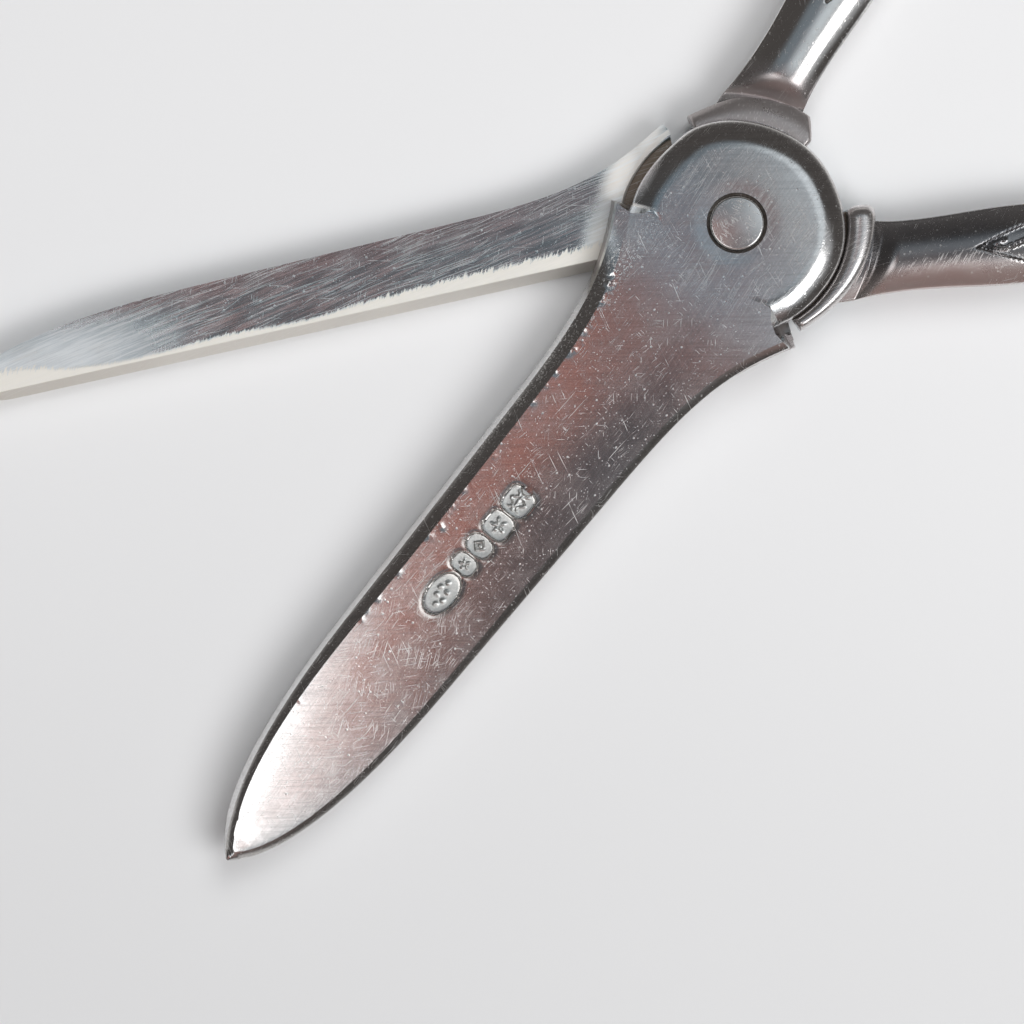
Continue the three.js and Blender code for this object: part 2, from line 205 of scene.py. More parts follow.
def make_object(name: str, points: np.ndarray, faces: list) -> bpy.types.Object:
    """A mesh object from points in millimetres, its faces turned outwards.

    Args:
        name: the object's name.
        points: array of x, y, z.
        faces: lists of point indices.

    Returns:
        The new object, linked to the scene.
    """
    mesh = bpy.data.meshes.new(name)
    mesh.from_pydata((np.asarray(points) * MM).tolist(), [], faces)
    built = bmesh.new()
    built.from_mesh(mesh)
    if built.calc_volume(signed=True) < 0:
        bmesh.ops.reverse_faces(built, faces=built.faces)
    built.to_mesh(mesh)
    built.free()
    thing = bpy.data.objects.new(name, mesh)
    bpy.context.scene.collection.objects.link(thing)
    return thing


def skin(name: str, rows: np.ndarray, loop: bool = False) -> bpy.types.Object:
    """A closed surface over rows of points.

    Args:
        name: the object's name.
        rows: array of rows by points by 3.
        loop: whether the last row meets the first; otherwise the ends are capped.

    Returns:
        The new object.
    """
    count, wide = rows.shape[:2]
    last = count if loop else count - 1
    here = np.arange(last)[:, None] * wide + np.arange(wide)[None]
    after = ((np.arange(last) + 1) % count)[:, None] * wide + np.arange(wide)[None]
    quads = np.stack([here, after, np.roll(after, -1, 1), np.roll(here, -1, 1)], 2)
    faces = quads.reshape(-1, 4).tolist()
    if not loop:
        faces.append(list(range(wide)))
        faces.append(list(range((count - 1) * wide, count * wide))[::-1])
    return make_object(name, rows.reshape(-1, 3), faces)


def turned(name: str, profile: list, sides: int = 240) -> bpy.types.Object:
    """A body turned about Z from a profile of radius and height that starts and ends on it."""
    inner = np.array(profile[1:-1], float)
    turn = np.linspace(0, 2 * math.pi, sides, endpoint=False)
    rows = np.stack(
        [
            np.outer(np.cos(turn), inner[:, 0]),
            np.outer(np.sin(turn), inner[:, 0]),
            np.tile(inner[:, 1], (sides, 1)),
        ],
        2,
    )
    points = rows.reshape(-1, 3)
    wide = len(inner)
    faces = []
    for i in range(sides):
        here, after = i * wide, (i + 1) % sides * wide
        faces += [[here + j, after + j, after + j + 1, here + j + 1] for j in range(wide - 1)]
    faces.append([i * wide for i in range(sides)][::-1])
    faces.append([i * wide + wide - 1 for i in range(sides)])
    return make_object(name, points, faces)


def cylinder(radius: float, low: float, high: float) -> bpy.types.Object:
    """A round tool about the pivot axis."""
    return turned("tool", [(0, low), (radius, low), (radius, high), (0, high)])


def prism(outline: np.ndarray, low: float, high: float) -> bpy.types.Object:
    """A flat outline raised from one height to another."""
    rows = np.stack([np.c_[outline, np.full(len(outline), z)] for z in (low, high)])
    return skin("tool", rows)


def settle(thing: bpy.types.Object) -> None:
    """Makes an object's modifiers permanent."""
    graph = bpy.context.evaluated_depsgraph_get()
    result = bpy.data.meshes.new_from_object(thing.evaluated_get(graph))
    thing.modifiers.clear()
    if len(result.polygons) == 0:
        raise RuntimeError(f"nothing is left of {thing.name}")
    thing.data = result


def shape(target: bpy.types.Object, tool: bpy.types.Object, cut: Cut) -> None:
    """Joins or cuts target with tool, and removes the tool."""
    change = target.modifiers.new("cut", "BOOLEAN")
    change.operation = cut.value
    change.solver = "MANIFOLD"
    change.object = tool
    settle(target)
    bpy.data.objects.remove(tool)


def finish_mesh(thing: bpy.types.Object, limit: float = SHARP_ANGLE) -> None:
    """Smooth shading, with edges sharper than the limit left crisp."""
    built = bmesh.new()
    built.from_mesh(thing.data)
    bmesh.ops.remove_doubles(built, verts=built.verts, dist=WELD * MM)
    for face in built.faces:
        face.smooth = True
    for edge in built.edges:
        edge.smooth = len(edge.link_faces) == 2 and edge.calc_face_angle(0) < limit
    built.to_mesh(thing.data)
    built.free()


# The discs' hand-cut edges: degrees round the joint and distance from the pivot.
FRONT_EDGE = (
    (60, 8.42),
    (78, 8.36),
    (90, 8.3),
    (104, 8.4),
    (118, 8.42),
    (128, 8.28),
    (139, 8.12),
    (150, 7.98),
    (165, 7.98),
    (179, 7.92),
    (190, 7.8),
    (205, 7.79),
    (220, 7.88),
    (233, 7.98),
    (242, 8.04),
    (248, 7.9),
    (255, 7.7),
    (264, 7.63),
    (278, 7.74),
    (294, 8.08),
    (310, 8.1),
)
REAR_EDGE = (
    (50, 7.62),
    (88, 7.62),
    (104, 8.2),
    (118, 8.4),
    (128, 8.28),
    (150, 7.98),
    (179, 7.92),
    (205, 7.79),
    (233, 7.98),
    (255, 7.8),
    (294, 8.0),
)


@dataclass(frozen=True)
class LapJoint:
    """Sizes of the joint that every other piece is fitted to."""

    thickness: float
    open_angle: float = 38.8
    lap_height: float = 2.5
    blade_height: float = 3.1
    clearance: float = 0.1
    disc_radius: float = 7.9
    disc_offset: float = 0.45
    recess_gap: float = 0.15
    rim_width: float = 2.15
    rim_drop: float = 0.92
    rim_power: float = 2.0
    rim_corner: float = 0.14
    dome: float = 0.13
    dome_fades: tuple = (-3, 8)
    edge_waves: float = 14.0
    recess_cut: tuple = (
        (200, 0),
        (265, 0),
        (272, -0.3),
        (292, -0.3),
        (334, 0.2),
        (350, 0.15),
        (358, 0),
    )
    recess_ease: tuple = ((284, 0), (290, 0.14), (335, 0.16), (352, 0.0))
    mouth_depth: float = 0.3
    shank_radius: float = 1.6
    head_radius: float = 2.08
    head_thickness: float = 0.9
    head_groove: float = 0.23
    head_edge: float = 0.2

    @property
    def recess_radius(self) -> float:
        """Radius of the recess that the other arm's disc turns in."""
        return self.disc_radius + self.disc_offset + self.recess_gap

    def lap(self, arm: Arm) -> float:
        """Height of an arm's lap face."""
        return self.lap_height - arm.up * self.clearance / 2

    def face(self, arm: Arm) -> float:
        """Height of an arm's outer disc face."""
        return 0.0 if arm is Arm.REAR else self.thickness

    def turn(self, arm: Arm) -> float:
        """Angle that the arm lies at, in radians."""
        return arm.up * -math.radians(self.open_angle) / 2

    def place(self, thing: bpy.types.Object, arm: Arm) -> None:
        """Turns a mesh from its arm's own frame to where the arm lies at rest."""
        thing.data.transform(Matrix.Rotation(self.turn(arm), 4, "Z"))

    def disc_edge(self, arm: Arm, angle: np.ndarray) -> np.ndarray:
        """Distance from the pivot to the disc's edge at an angle in radians."""
        degrees = np.degrees(angle) * -arm.up % 360
        line = FRONT_EDGE if arm is Arm.FRONT else REAR_EDGE
        return np.interp(degrees, *zip(*line), period=360)

    def disc_line(self, arm: Arm, count: int = ROUND, inward: float = 0) -> np.ndarray:
        """Points round the disc's edge, moved inwards."""
        turn = np.linspace(0, 2 * math.pi, count, endpoint=False)
        radius = self.disc_edge(arm, turn)
        even_out = np.exp(-np.abs(np.fft.fftfreq(count, 1 / count)) / self.edge_waves)
        radius = np.fft.ifft(np.fft.fft(radius) * even_out).real - inward
        return np.c_[radius * np.cos(turn), radius * np.sin(turn)]

    def inward(self, arm: Arm, points: np.ndarray) -> np.ndarray:
        """Distance of points inside the disc's edge, negative outside."""
        line = self.disc_line(arm, 2 * ROUND)
        turn = np.arctan2(points[:, 1], points[:, 0]) % (2 * math.pi)
        marks = np.linspace(0, 2 * math.pi, 2 * ROUND + 1)
        radius = np.hypot(*line.T)
        return np.interp(turn, marks, np.r_[radius, radius[0]]) - np.hypot(*points.T)

    def rim(self, inward: np.ndarray) -> np.ndarray:
        """Drop of the disc's soft rim at a distance inside its edge."""
        share = np.clip(1 - np.asarray(inward, float) / self.rim_width, 0, 1)
        corner = np.clip(1 - np.asarray(inward, float) / self.rim_corner, 0, 1)
        rounded = self.rim_corner * (1 - np.sqrt(1 - corner**2))
        return (self.rim_drop - self.rim_corner) * share**self.rim_power + rounded

    def sag(self, points: np.ndarray) -> np.ndarray:
        """How far the polished disc sinks from its middle outwards, running out along the blade."""
        share = np.minimum(np.hypot(*points.T) / self.disc_radius, 1)
        return self.dome * share**2 * (1 - smooth(points[:, 0], *self.dome_fades))

    def recess(self) -> bpy.types.Object:
        """Tool for the recess in the rear arm's lap face, eased by wear beside the blade."""
        turn = np.linspace(0, 2 * math.pi, ROUND, endpoint=False)
        degrees = np.degrees(turn)
        cut = np.interp(degrees, *zip(*self.recess_cut), period=360)
        eased = np.interp(degrees, *zip(*self.recess_ease), period=360)
        mouth = self.blade_height - self.clearance / 2
        levels = (
            (self.lap(Arm.REAR), 0),
            (mouth - self.mouth_depth, 0),
            (mouth + 0.01, 1),
            (self.thickness + OVERRUN, 1),
        )
        rows = []
        for level, share in levels:
            radius = self.recess_radius + cut + share * eased
            rows.append(spread(radius, turn, level))
        return skin("tool", np.array(rows))

    def disc(self, arm: Arm) -> bpy.types.Object:
        """The arm's whole disc, its rim rounded on the outer face."""
        face, lap = self.face(arm), self.lap(arm)
        corner = self.rim_corner * (1 - np.sin(np.linspace(0, 1, 6) * math.pi / 2))[::-1]
        rings = np.r_[corner, np.linspace(self.rim_corner * 1.3, self.rim_width, 16)]
        rows = [np.c_[self.disc_line(arm), np.full(ROUND, lap)]]
        for ring in rings:
            level = face + arm.up * float(self.rim(ring))
            rows.append(np.c_[self.disc_line(arm, inward=ring), np.full(ROUND, level)])
        return skin("disc", np.array(rows))

    def drill(self, thing: bpy.types.Object, arm: Arm) -> None:
        """Takes the shank's hole and the head's counterbore out of an arm's blade."""
        face, deep = self.face(arm), self.head_thickness + self.clearance
        hole = cylinder(self.shank_radius + self.clearance, -OVERRUN, self.thickness + OVERRUN)
        shape(thing, hole, Cut.TAKE_AWAY)
        ends = sorted((face - arm.up * OVERRUN, face + arm.up * deep))
        shape(thing, cylinder(self.head_radius + self.head_groove, *ends), Cut.TAKE_AWAY)


@dataclass(frozen=True)
class Shoulder:
    """The curved wall of one arm that hugs the other arm's disc. Angles are in degrees."""

    start: float
    lean: float
    spare: float
    wall: float
    end_wall: float
    step: float = 1.3
    far_step: float = 0.7
    bead_drop: float = 0.6
    root: float = 6.6
    taper_share: float = 0.35
    back: float = 0.5
    fall: float = 0.5
    fall_power: float = 2.4
    corner: float = 0.14
    corner_slope: float = 36.0
    end_radius: float = 0.34
    start_radius: float = 0.34
    start_turn: float = 0.0
    start_share: float = 0.12
    outer_power: float = 1.0
    inner_power: float = 0.9

    def mesh(self, joint: LapJoint, arm: Arm, other_ear: float) -> bpy.types.Object:
        """Builds the shoulder.

        Args:
            joint: the lap joint's sizes.
            arm: the arm that it belongs to.
            other_ear: angle of the ear that its far end looks at.

        Returns:
            The shoulder as a closed solid.
        """
        own = joint.face(arm)
        flat = own + arm.up * self.step
        crest = own + arm.up * (joint.thickness - self.far_step)
        lap = joint.lap(arm)
        stop = self.stop(joint, other_ear)
        sweep = math.radians(abs(stop - self.start)) * joint.recess_radius
        rows = []
        near_start, near_end = np.linspace(0, 0.04, 8), np.linspace(0.96, 1, 8)
        for share in np.r_[near_start, np.linspace(0.05, 0.95, 80), near_end]:
            outer = float(self.outer(joint, share))
            ends = ((share, self.start_radius), (1 - share, self.end_radius))
            ease = sum(self.ease(part * sweep, radius) for part, radius in ends)
            lift = arm.up * self.ease(min(share, 1 - share) * sweep, self.end_radius)
            face = self.face_side(joint.recess_radius, outer, flat, arm.up) + [0, lift]
            bead = self.bead_side(joint.recess_radius, outer, crest, arm.up) - [0, arm.up * ease]
            foot = [[joint.recess_radius, lap], [self.root, lap]]
            section = np.r_[[[self.root, flat]], face, bead, foot]
            out = np.maximum(section[:, 0] - joint.recess_radius, 0) / self.wall
            degrees = mix(self.start, stop, share) + self.lean * out * (1 - share)
            turned_in = max(1 - share / self.start_share, 0) ** 2
            degrees += self.start_turn * np.abs(2 * out - 1) ** 4 * turned_in
            angle = math.pi - arm.up * np.radians(degrees)
            rows.append(spread(section[:, 0], angle, section[:, 1]))
        return skin("shoulder", np.array(rows))

    def stop(self, joint: LapJoint, other_ear: float) -> float:
        """Angle of the far end, which the other arm's ear meets when the shears are wide open."""
        return 180 - joint.open_angle - other_ear - self.spare

    def outer(self, joint: LapJoint, share: np.ndarray | float) -> np.ndarray:
        """Radius of the outer side at a share of the way along."""
        wall = mix(self.wall, self.end_wall, smooth(share, self.taper_share, 1))
        return joint.recess_radius + wall

    def core(
        self, joint: LapJoint, arm: Arm, other_ear: float, overlap: float
    ) -> bpy.types.Object:
        """Tool for everything inside the outer side, which the stem's root is fitted to."""
        stop = self.stop(joint, other_ear)
        degrees = np.linspace(self.start - WEDGE, stop + WEDGE, 240)
        share = np.clip((degrees - self.start) / (stop - self.start), 0, 1)
        radius = self.outer(joint, share) - overlap
        angle = math.pi - arm.up * np.radians(degrees)
        outline = np.r_[np.c_[radius * np.cos(angle), radius * np.sin(angle)], [[0, 0]]]
        return prism(outline, -OVERRUN, joint.thickness + OVERRUN)

    @staticmethod
    def ease(gap: float, radius: float) -> float:
        """Drop of a rounded end at a distance from it."""
        near = min(max(1 - gap / radius, 0), 1)
        return radius * (1 - math.sqrt(1 - near**2))

    def face_side(self, inner: float, outer: float, flat: float, up: int) -> np.ndarray:
        """Section of the side beside the arm's own disc, falling softly outwards."""
        start = math.radians(self.corner_slope)
        part = np.linspace(0, 1, 12)
        edge = outer - self.corner * (1 - math.sin(start))
        fallen = flat + up * self.fall * part**self.fall_power
        soft = np.c_[mix(inner - self.back, edge, part), fallen]
        turn = np.linspace(start, math.pi / 2, 5)[1:]
        drop = self.fall + self.corner * (math.cos(start) - np.cos(turn))
        return np.r_[soft, np.c_[outer - self.corner * (1 - np.sin(turn)), flat + up * drop]]

    def bead_side(self, inner: float, outer: float, crest: float, up: int) -> np.ndarray:
        """Section of the bead that stands round the other arm's disc."""
        turn = np.linspace(0, math.pi, 33)
        power = np.where(turn < math.pi / 2, self.outer_power, self.inner_power)
        rise = np.sin(turn) ** power
        aside = raised(np.cos(turn), power)
        middle, reach = (outer + inner) / 2, (outer - inner) / 2
        return np.c_[middle + reach * aside, crest - up * self.bead_drop * (1 - rise)]


@dataclass(frozen=True)
class Ear:
    """The back of a blade beside the joint: its angle at the recess and its lean, in degrees."""

    angle: float
    lean: float

    def line(self, joint: LapJoint, sign: int) -> tuple:
        """The ear's back on the side given by sign: a point, its direction and its normal."""
        along = polar(1, sign * (self.angle - self.lean))
        normal = np.array([-along[1], along[0]]) * sign
        return polar(joint.recess_radius, sign * self.angle), along, normal

    def tool(self, joint: LapJoint, sign: int, low: float, high: float) -> bpy.types.Object:
        """The wedge that is cut away behind the ear between two heights."""
        corner, along, _ = self.line(joint, sign)
        far = 2 * joint.recess_radius
        behind = polar(far, sign * (self.angle + WEDGE))
        outline = [corner - along * far / 4, corner + along * far, behind]
        return prism(np.array(outline[::sign]), low, high)


@dataclass(frozen=True)
class BladeOutline:
    """The spear shape that both blades share."""

    length: float
    root_at: float = 3.4
    waist_at: float = 25.0
    belly_at: float = 42.0
    root_half: float = 9.6
    waist_half: float = 5.3
    belly_half: float = 4.95
    tip_half: float = 0.12
    root_curve: tuple = ((0.31, 0.97), (0.49, 0.05))
    tip_curve: tuple = ((0.45, 0.96), (0.86, 0.72))

    def edge(self, step: float = 0.12) -> np.ndarray:
        """Half of the outline from root to tip, as distance and half width."""
        run, fall = self.waist_at - self.root_at, self.root_half - self.waist_half
        tip = self.length - self.belly_at
        (ahead, down), (behind, up) = self.root_curve
        handles = (
            (self.root_at + run * ahead, self.root_half - fall * down),
            (self.root_at + run * behind, self.waist_half + fall * up),
        )
        ends = ((self.root_at, self.root_half), (self.waist_at, self.waist_half))
        root = bezier(ends, handles)
        handles = tuple((self.belly_at + tip * u, self.belly_half * v) for u, v in self.tip_curve)
        ends = ((self.belly_at, self.belly_half), (self.length, self.tip_half))
        return even(np.r_[root, bezier(ends, handles)], step)

    def half(self, x: np.ndarray) -> np.ndarray:
        """Half width at a distance from the pivot."""
        line = self.edge()
        return np.interp(x, line[:, 0], line[:, 1])


@dataclass(frozen=True)
class BladeFall:
    """How the outer faces fall towards the tips."""

    start: float = 6.0
    front: float = 1.3
    rear: float = 1.1
    power: float = 1.6

    def at(self, x: np.ndarray, length: float, fall: float) -> np.ndarray:
        """Fall at a distance from the pivot."""
        share = np.maximum(np.asarray(x, float) - self.start, 0) / (length - self.start)
        return fall * share**self.power


FALL = BladeFall()
PLATE_EAR = Ear(62, -6)
FLANGE_EAR = Ear(67, 12)
REAR_EAR = Ear(67.5, 8)
EDGE_REACH = 0.29  # how far the narrow blade's edge lies past its middle line
FOOT_REACH = 0.98  # and the foot of its slanted wall


class Figure(Enum):
    """Plain figures that stand in the struck marks."""

    ROSETTE = "rosette"
    SPRIG = "sprig"
    PELLETS = "pellets"
    LOZENGE = "lozenge"


PELLET_SPOTS = (
    (-1.1, -0.15),
    (-0.35, 0.3),
    (0.35, -0.3),
    (1.1, 0.15),
    (-0.4, -0.45),
    (0.45, 0.45),
)


@dataclass(frozen=True)
class StruckMark:
    """One punched field: a superellipse sunk in the face, with a worn figure standing in it."""

    at: float
    across: float
    half_long: float
    half_wide: float
    roundness: float
    figure: Figure
    notch: float = 0.0
    depth: float = 0.15
    wall: float = 0.1
    rise: float = 0.09
    lip: float = 0.014
    lip_width: float = 0.16
    basin: float = 0.5
    basin_share: float = 0.28
    figure_share: float = 0.72

    def sink(self, points: np.ndarray) -> np.ndarray:
        """How far the face is pressed down at points in plan."""
        x = points[:, 0] - self.at
        y = points[:, 1] - self.across
        power = self.roundness
        side = np.abs(x / self.half_long) ** power + np.abs(y / self.half_wide) ** power
        reach = (1 - side ** (1 / power)) * min(self.half_long, self.half_wide)
        if self.notch:
            reach = np.minimum(reach, np.hypot(x + self.half_long, y) - self.notch)
        bulge = self.lip * np.exp(-((np.minimum(reach, 0) / self.lip_width) ** 2)) * (reach < 0)
        wall, basin = smooth(reach, -0.02, self.wall), smooth(reach, 0, self.basin)
        floor = mix(wall, basin, self.basin_share)
        return self.depth * floor - self.rise * self.relief(x, y) * floor - bulge

    def relief(self, x: np.ndarray, y: np.ndarray) -> np.ndarray:
        """The worn figure's height from 0 to 1 round the mark's middle."""
        size = min(self.half_long, self.half_wide) * self.figure_share
        r, turn = np.hypot(x, y) / size, np.arctan2(y, x)
        wear = 0.72 + 0.28 * np.sin(13 * x + 5 * y) * np.sin(11 * y - 4 * x)
        if self.figure is Figure.ROSETTE:
            petals = smooth(0.74 + 0.3 * np.cos(5 * turn) - r, 0, 0.5)
            return wear * petals * mix(0.5, 1, smooth(r, 0.1, 0.4))
        if self.figure is Figure.LOZENGE:
            ring = np.abs(np.abs(x) / size + np.abs(y) / size - 0.7)
            return wear * np.maximum(smooth(0.3 - ring, 0, 0.28), smooth(0.32 - r, 0, 0.28))
        if self.figure is Figure.SPRIG:
            stalk = smooth(0.22 - np.abs(y / size), 0, 0.2) * (np.abs(x) < size)
            leaf = np.abs(np.abs(y / size) - 0.45 - 0.25 * np.cos(6 * x / size))
            ends = smooth(0.95 * size - np.abs(x), 0, 0.15)
            return wear * np.maximum(stalk, smooth(0.26 - leaf, 0, 0.24) * ends)
        gaps = [np.hypot(x / size - px, y / size - py) for px, py in PELLET_SPOTS]
        return wear * smooth(0.36 - np.min(gaps, axis=0), 0, 0.3)


@dataclass(frozen=True)
class Chamfer:
    """The filed chamfer on one side of the front blade, with the steep foot outside it."""

    foot: float
    wide: float
    tip_wide: float
    narrows_at: float = 30.0
    fall: float = 0.585
    root_share: float = 1.0
    root_fades: tuple = (5, 15)
    bend: float = 0.13
    foot_most: float = 0.16
    wide_most: float = 0.6
    marks: tuple = (0.05, 0.2, 0.4, 0.6, 0.8, 0.94, 1.0, 1.07, 1.25, 1.5)

    def sizes(self, x: np.ndarray, half: np.ndarray, length: float) -> tuple:
        """Foot and width at a distance from the pivot, less where the blade runs out."""
        wide = mix(self.wide, self.tip_wide, smooth(x, self.narrows_at, length))
        return np.minimum(self.foot, half * self.foot_most), np.minimum(wide, half * self.wide_most)

    def drop(
        self, x: np.ndarray, gap: np.ndarray, foot: np.ndarray, wide: np.ndarray
    ) -> np.ndarray:
        """Fall below the flat at a distance inside the edge, less beside the joint."""
        share = 1 - np.clip((gap - foot) / wide, 0, 1)
        fall = self.fall * mix(self.root_share, 1, smooth(x, *self.root_fades))
        return fall * wide * ((1 - self.bend) * share + self.bend * share**3)

    def rings(self, foot: np.ndarray, wide: np.ndarray) -> list:
        """Distances inside the edge at which the surface is followed closely."""
        return [foot * 0.35, foot * 0.7, *(foot + wide * mark for mark in self.marks)]


@dataclass(frozen=True)
class Nicks:
    """Small dents that wear has left along the cutting side's crease."""

    count: int = 54
    least: float = 0.07
    most: float = 0.15
    depth: float = 0.03
    first: float = 9.0
    last: float = 52.0
    crowding: float = 1.7
    scatter: tuple = (0.05, 0.22)
    depth_shares: tuple = (0.5, 1.2)
    lengths: tuple = (0.9, 2.2)

    def sink(self, points: np.ndarray, crease: Callable[[float], float]) -> np.ndarray:
        """How deep the dents press the face, given the crease's place across at each distance."""
        chance = np.random.default_rng(17)
        total = np.zeros(len(points))
        for _ in range(self.count):
            at = self.first + (self.last - self.first) * chance.random() ** self.crowding
            across = float(crease(at)) + chance.normal(*self.scatter)
            size = chance.uniform(self.least, self.most)
            deep = self.depth * size / self.most * chance.uniform(*self.depth_shares)
            long = chance.uniform(*self.lengths)
            gap = ((points[:, 0] - at) / (size * long)) ** 2 + ((points[:, 1] - across) / size) ** 2
            total += deep * np.exp(-gap)
        return total


@dataclass(frozen=True)
class FrontBlade:
    """The broad upper blade with its disc, shoulder and flange."""

    joint: LapJoint
    outline: BladeOutline
    shoulder: Shoulder = Shoulder(-3.5, 7.5, 11, 1.45, 0.55)
    cutting: Chamfer = Chamfer(0.36, 1.12, 0.5, root_share=0.1)
    spine: Chamfer = Chamfer(0.07, 0.62, 0.55)
    nicks: Nicks = Nicks()
    crown: float = 0.14
    ledge: float = 1.5
    ear_back: tuple = ((0, 0.3, 0.42, 0.6, 0.8, 1), (0.02, 0.12, 0.5, 0.7, 0.42, 0.1))
    dish: float = 0.02
    dish_radius: float = 3.5
    grid: float = 0.32
    fine_grid: float = 0.055
    fine_margins: tuple = (0.25, 1.55, 1.45)
    arc_gap: float = 0.008
    ear_step: float = 0.1
    point_gap: float = 0.04
    line_gap: float = 0.02
    mark_room: float = 0.1
    disc_overlap: float = 0.9
    rim_rings: tuple = (0.045, 0.09, 0.14, 0.2, 0.28, *np.linspace(0.4, 2.4, 14))
    rim_room: float = 0.15
    edge_room: float = 1.95
    crown_grows: tuple = (9, 20)
    back_inside: float = 3.1
    back_outside: float = 2.5
    flange_gap: float = 0.25
    flange_lift: float = 0.2
    flange_edge: float = 0.35
    flange_runs_out: float = 50.0
    tip_skin: float = 0.06
    marks: tuple = (
        StruckMark(26.85, 0.27, 1.18, 1.2, 3.4, Figure.SPRIG, notch=0.45),
        StruckMark(29.2, 0.23, 1.08, 1.14, 3.6, Figure.ROSETTE),
        StruckMark(31.3, 0.08, 0.86, 1.13, 2.5, Figure.LOZENGE),
        StruckMark(33.1, 0.04, 0.8, 1.05, 3.0, Figure.ROSETTE),
        StruckMark(35.9, 0.1, 1.84, 1.18, 2.1, Figure.PELLETS),
    )

    @property
    def plate_height(self) -> float:
        """Height of the plate's underside, which the narrow blade closes against."""
        return self.joint.blade_height + self.joint.clearance / 2

    def middle(self, x: np.ndarray) -> np.ndarray:
        """The blade's middle line, which runs from the disc's middle to the tip."""
        return self.joint.disc_offset * (1 - np.asarray(x, float) / self.outline.length)

    def side(self, sign: int) -> np.ndarray:
        """One side's edge in plan, from the ear's back to the tip."""
        line = self.outline.edge()
        edge = np.c_[line[:, 0], self.middle(line[:, 0]) + sign * line[:, 1]]
        ear = FLANGE_EAR if sign > 0 else PLATE_EAR
        corner, _, normal = ear.line(self.joint, sign)
        ahead = (edge - corner) @ normal < 0
        first = int(np.argmax(ahead))
        start = edge[first]
        if first:
            before, after = ((edge[i] - corner) @ normal for i in (first - 1, first))
            start = mix(edge[first - 1], edge[first], before / (before - after))
        return np.r_[[start], edge[ahead]]

    def meets_disc(self, ear: Ear, sign: int) -> np.ndarray:
        """Where an ear's back meets the disc's edge."""
        corner, along, _ = ear.line(self.joint, sign)
        reach = np.linspace(-2, 0.6, 1301)[:, None]
        marks = corner + reach * along
        inward = self.joint.inward(Arm.FRONT, marks)
        return marks[int(np.argmax(inward < 0))]

    def loop(self) -> tuple:
        """The whole outline in plan as its stretches: one side, ear, disc, ear, other side."""
        upper, lower = self.side(1), self.side(-1)
        a, b = self.meets_disc(FLANGE_EAR, 1), self.meets_disc(PLATE_EAR, -1)
        edge = self.joint.disc_line(Arm.FRONT, 480)
        start, stop = (math.atan2(y, x) % (2 * math.pi) for x, y in (a, b))
        turn = np.arctan2(edge[:, 1], edge[:, 0]) % (2 * math.pi)
        clear = (turn > start + self.arc_gap) & (turn < stop - self.arc_gap)
        arc = np.r_[[a], edge[clear], [b]]
        pairs = ([upper[0], a], [b, lower[0]])
        ear_up, ear_low = (even(np.array(pair), self.ear_step) for pair in pairs)
        return upper, ear_up, arc, ear_low, lower

    def in_blade(self, points: np.ndarray, ear: Ear, sign: int) -> np.ndarray:
        """Whether points lie on the blade's side of an ear's back."""
        corner, _, normal = ear.line(self.joint, sign)
        return (points - corner) @ normal < -1e-3

    def height(self, points: np.ndarray) -> np.ndarray:
        """The outer face's height at points in plan, with bevels, rim, ears and marks."""
        top = self.joint.thickness
        x, y = points.T
        upper, _, _, _, lower = self.loop()
        half = self.outline.half(x)
        across = (y - self.middle(x)) / half
        sag = self.joint.sag(points)
        face = top - FALL.at(x, self.outline.length, FALL.front) - sag
        face -= self.crown * across**2 * smooth(x, *self.crown_grows)
        blade = face
        for line, chamfer in ((upper, self.spine), (lower, self.cutting)):
            gap = distance(points, line)
            foot, wide = chamfer.sizes(x, half, self.outline.length)
            edge = face - chamfer.drop(x, gap, foot, wide)
            steep = np.clip(1 - gap / foot, 0, 1)
            blade = np.minimum(blade, mix(edge, self.plate_height + 0.03, steep))
        for mark in self.marks:
            blade -= mark.sink(points)
        blade -= self.nicks.sink(points, self.crease)
        plate = (x > self.outline.root_at) & self.in_blade(points, PLATE_EAR, 1)
        plate &= self.in_blade(points, PLATE_EAR, -1)
        ledge = (x > 0) & ~plate & self.in_blade(points, FLANGE_EAR, 1) & (y > 0)
        height = np.where(plate, blade, top / 2)
        height = np.where(ledge, np.minimum(top - self.ledge, blade), height)
        inward = self.joint.inward(Arm.FRONT, points)
        hollow = self.dish * (1 - smooth(np.hypot(x, y), self.joint.head_radius, self.dish_radius))
        disc = top - sag - hollow - self.joint.rim(np.maximum(inward, 0))
        return np.maximum(height, np.where(inward > -5e-3, disc, top / 2))

    def crease(self, x: float) -> float:
        """Where the cutting side's chamfer meets the flat, across the blade."""
        half = self.outline.half(x)
        foot, wide = self.cutting.sizes(x, half, self.outline.length)
        return self.middle(x) - half + foot + wide

    def edge_points(self, upper: np.ndarray, lower: np.ndarray, arc: np.ndarray) -> list:
        """Rings of points that follow the chamfers and the disc's rim."""
        sets = []
        for line, sign, chamfer in ((upper, -1, self.spine), (lower, 1, self.cutting)):
            run = headings(line)
            normal = np.c_[-run[:, 1], run[:, 0]] * sign
            sizes = chamfer.sizes(line[:, 0], self.outline.half(line[:, 0]), self.outline.length)
            sets += [line + normal * ring[:, None] for ring in chamfer.rings(*sizes)]
        return sets + [arc * (1 - ring / np.hypot(*arc.T))[:, None] for ring in self.rim_rings]

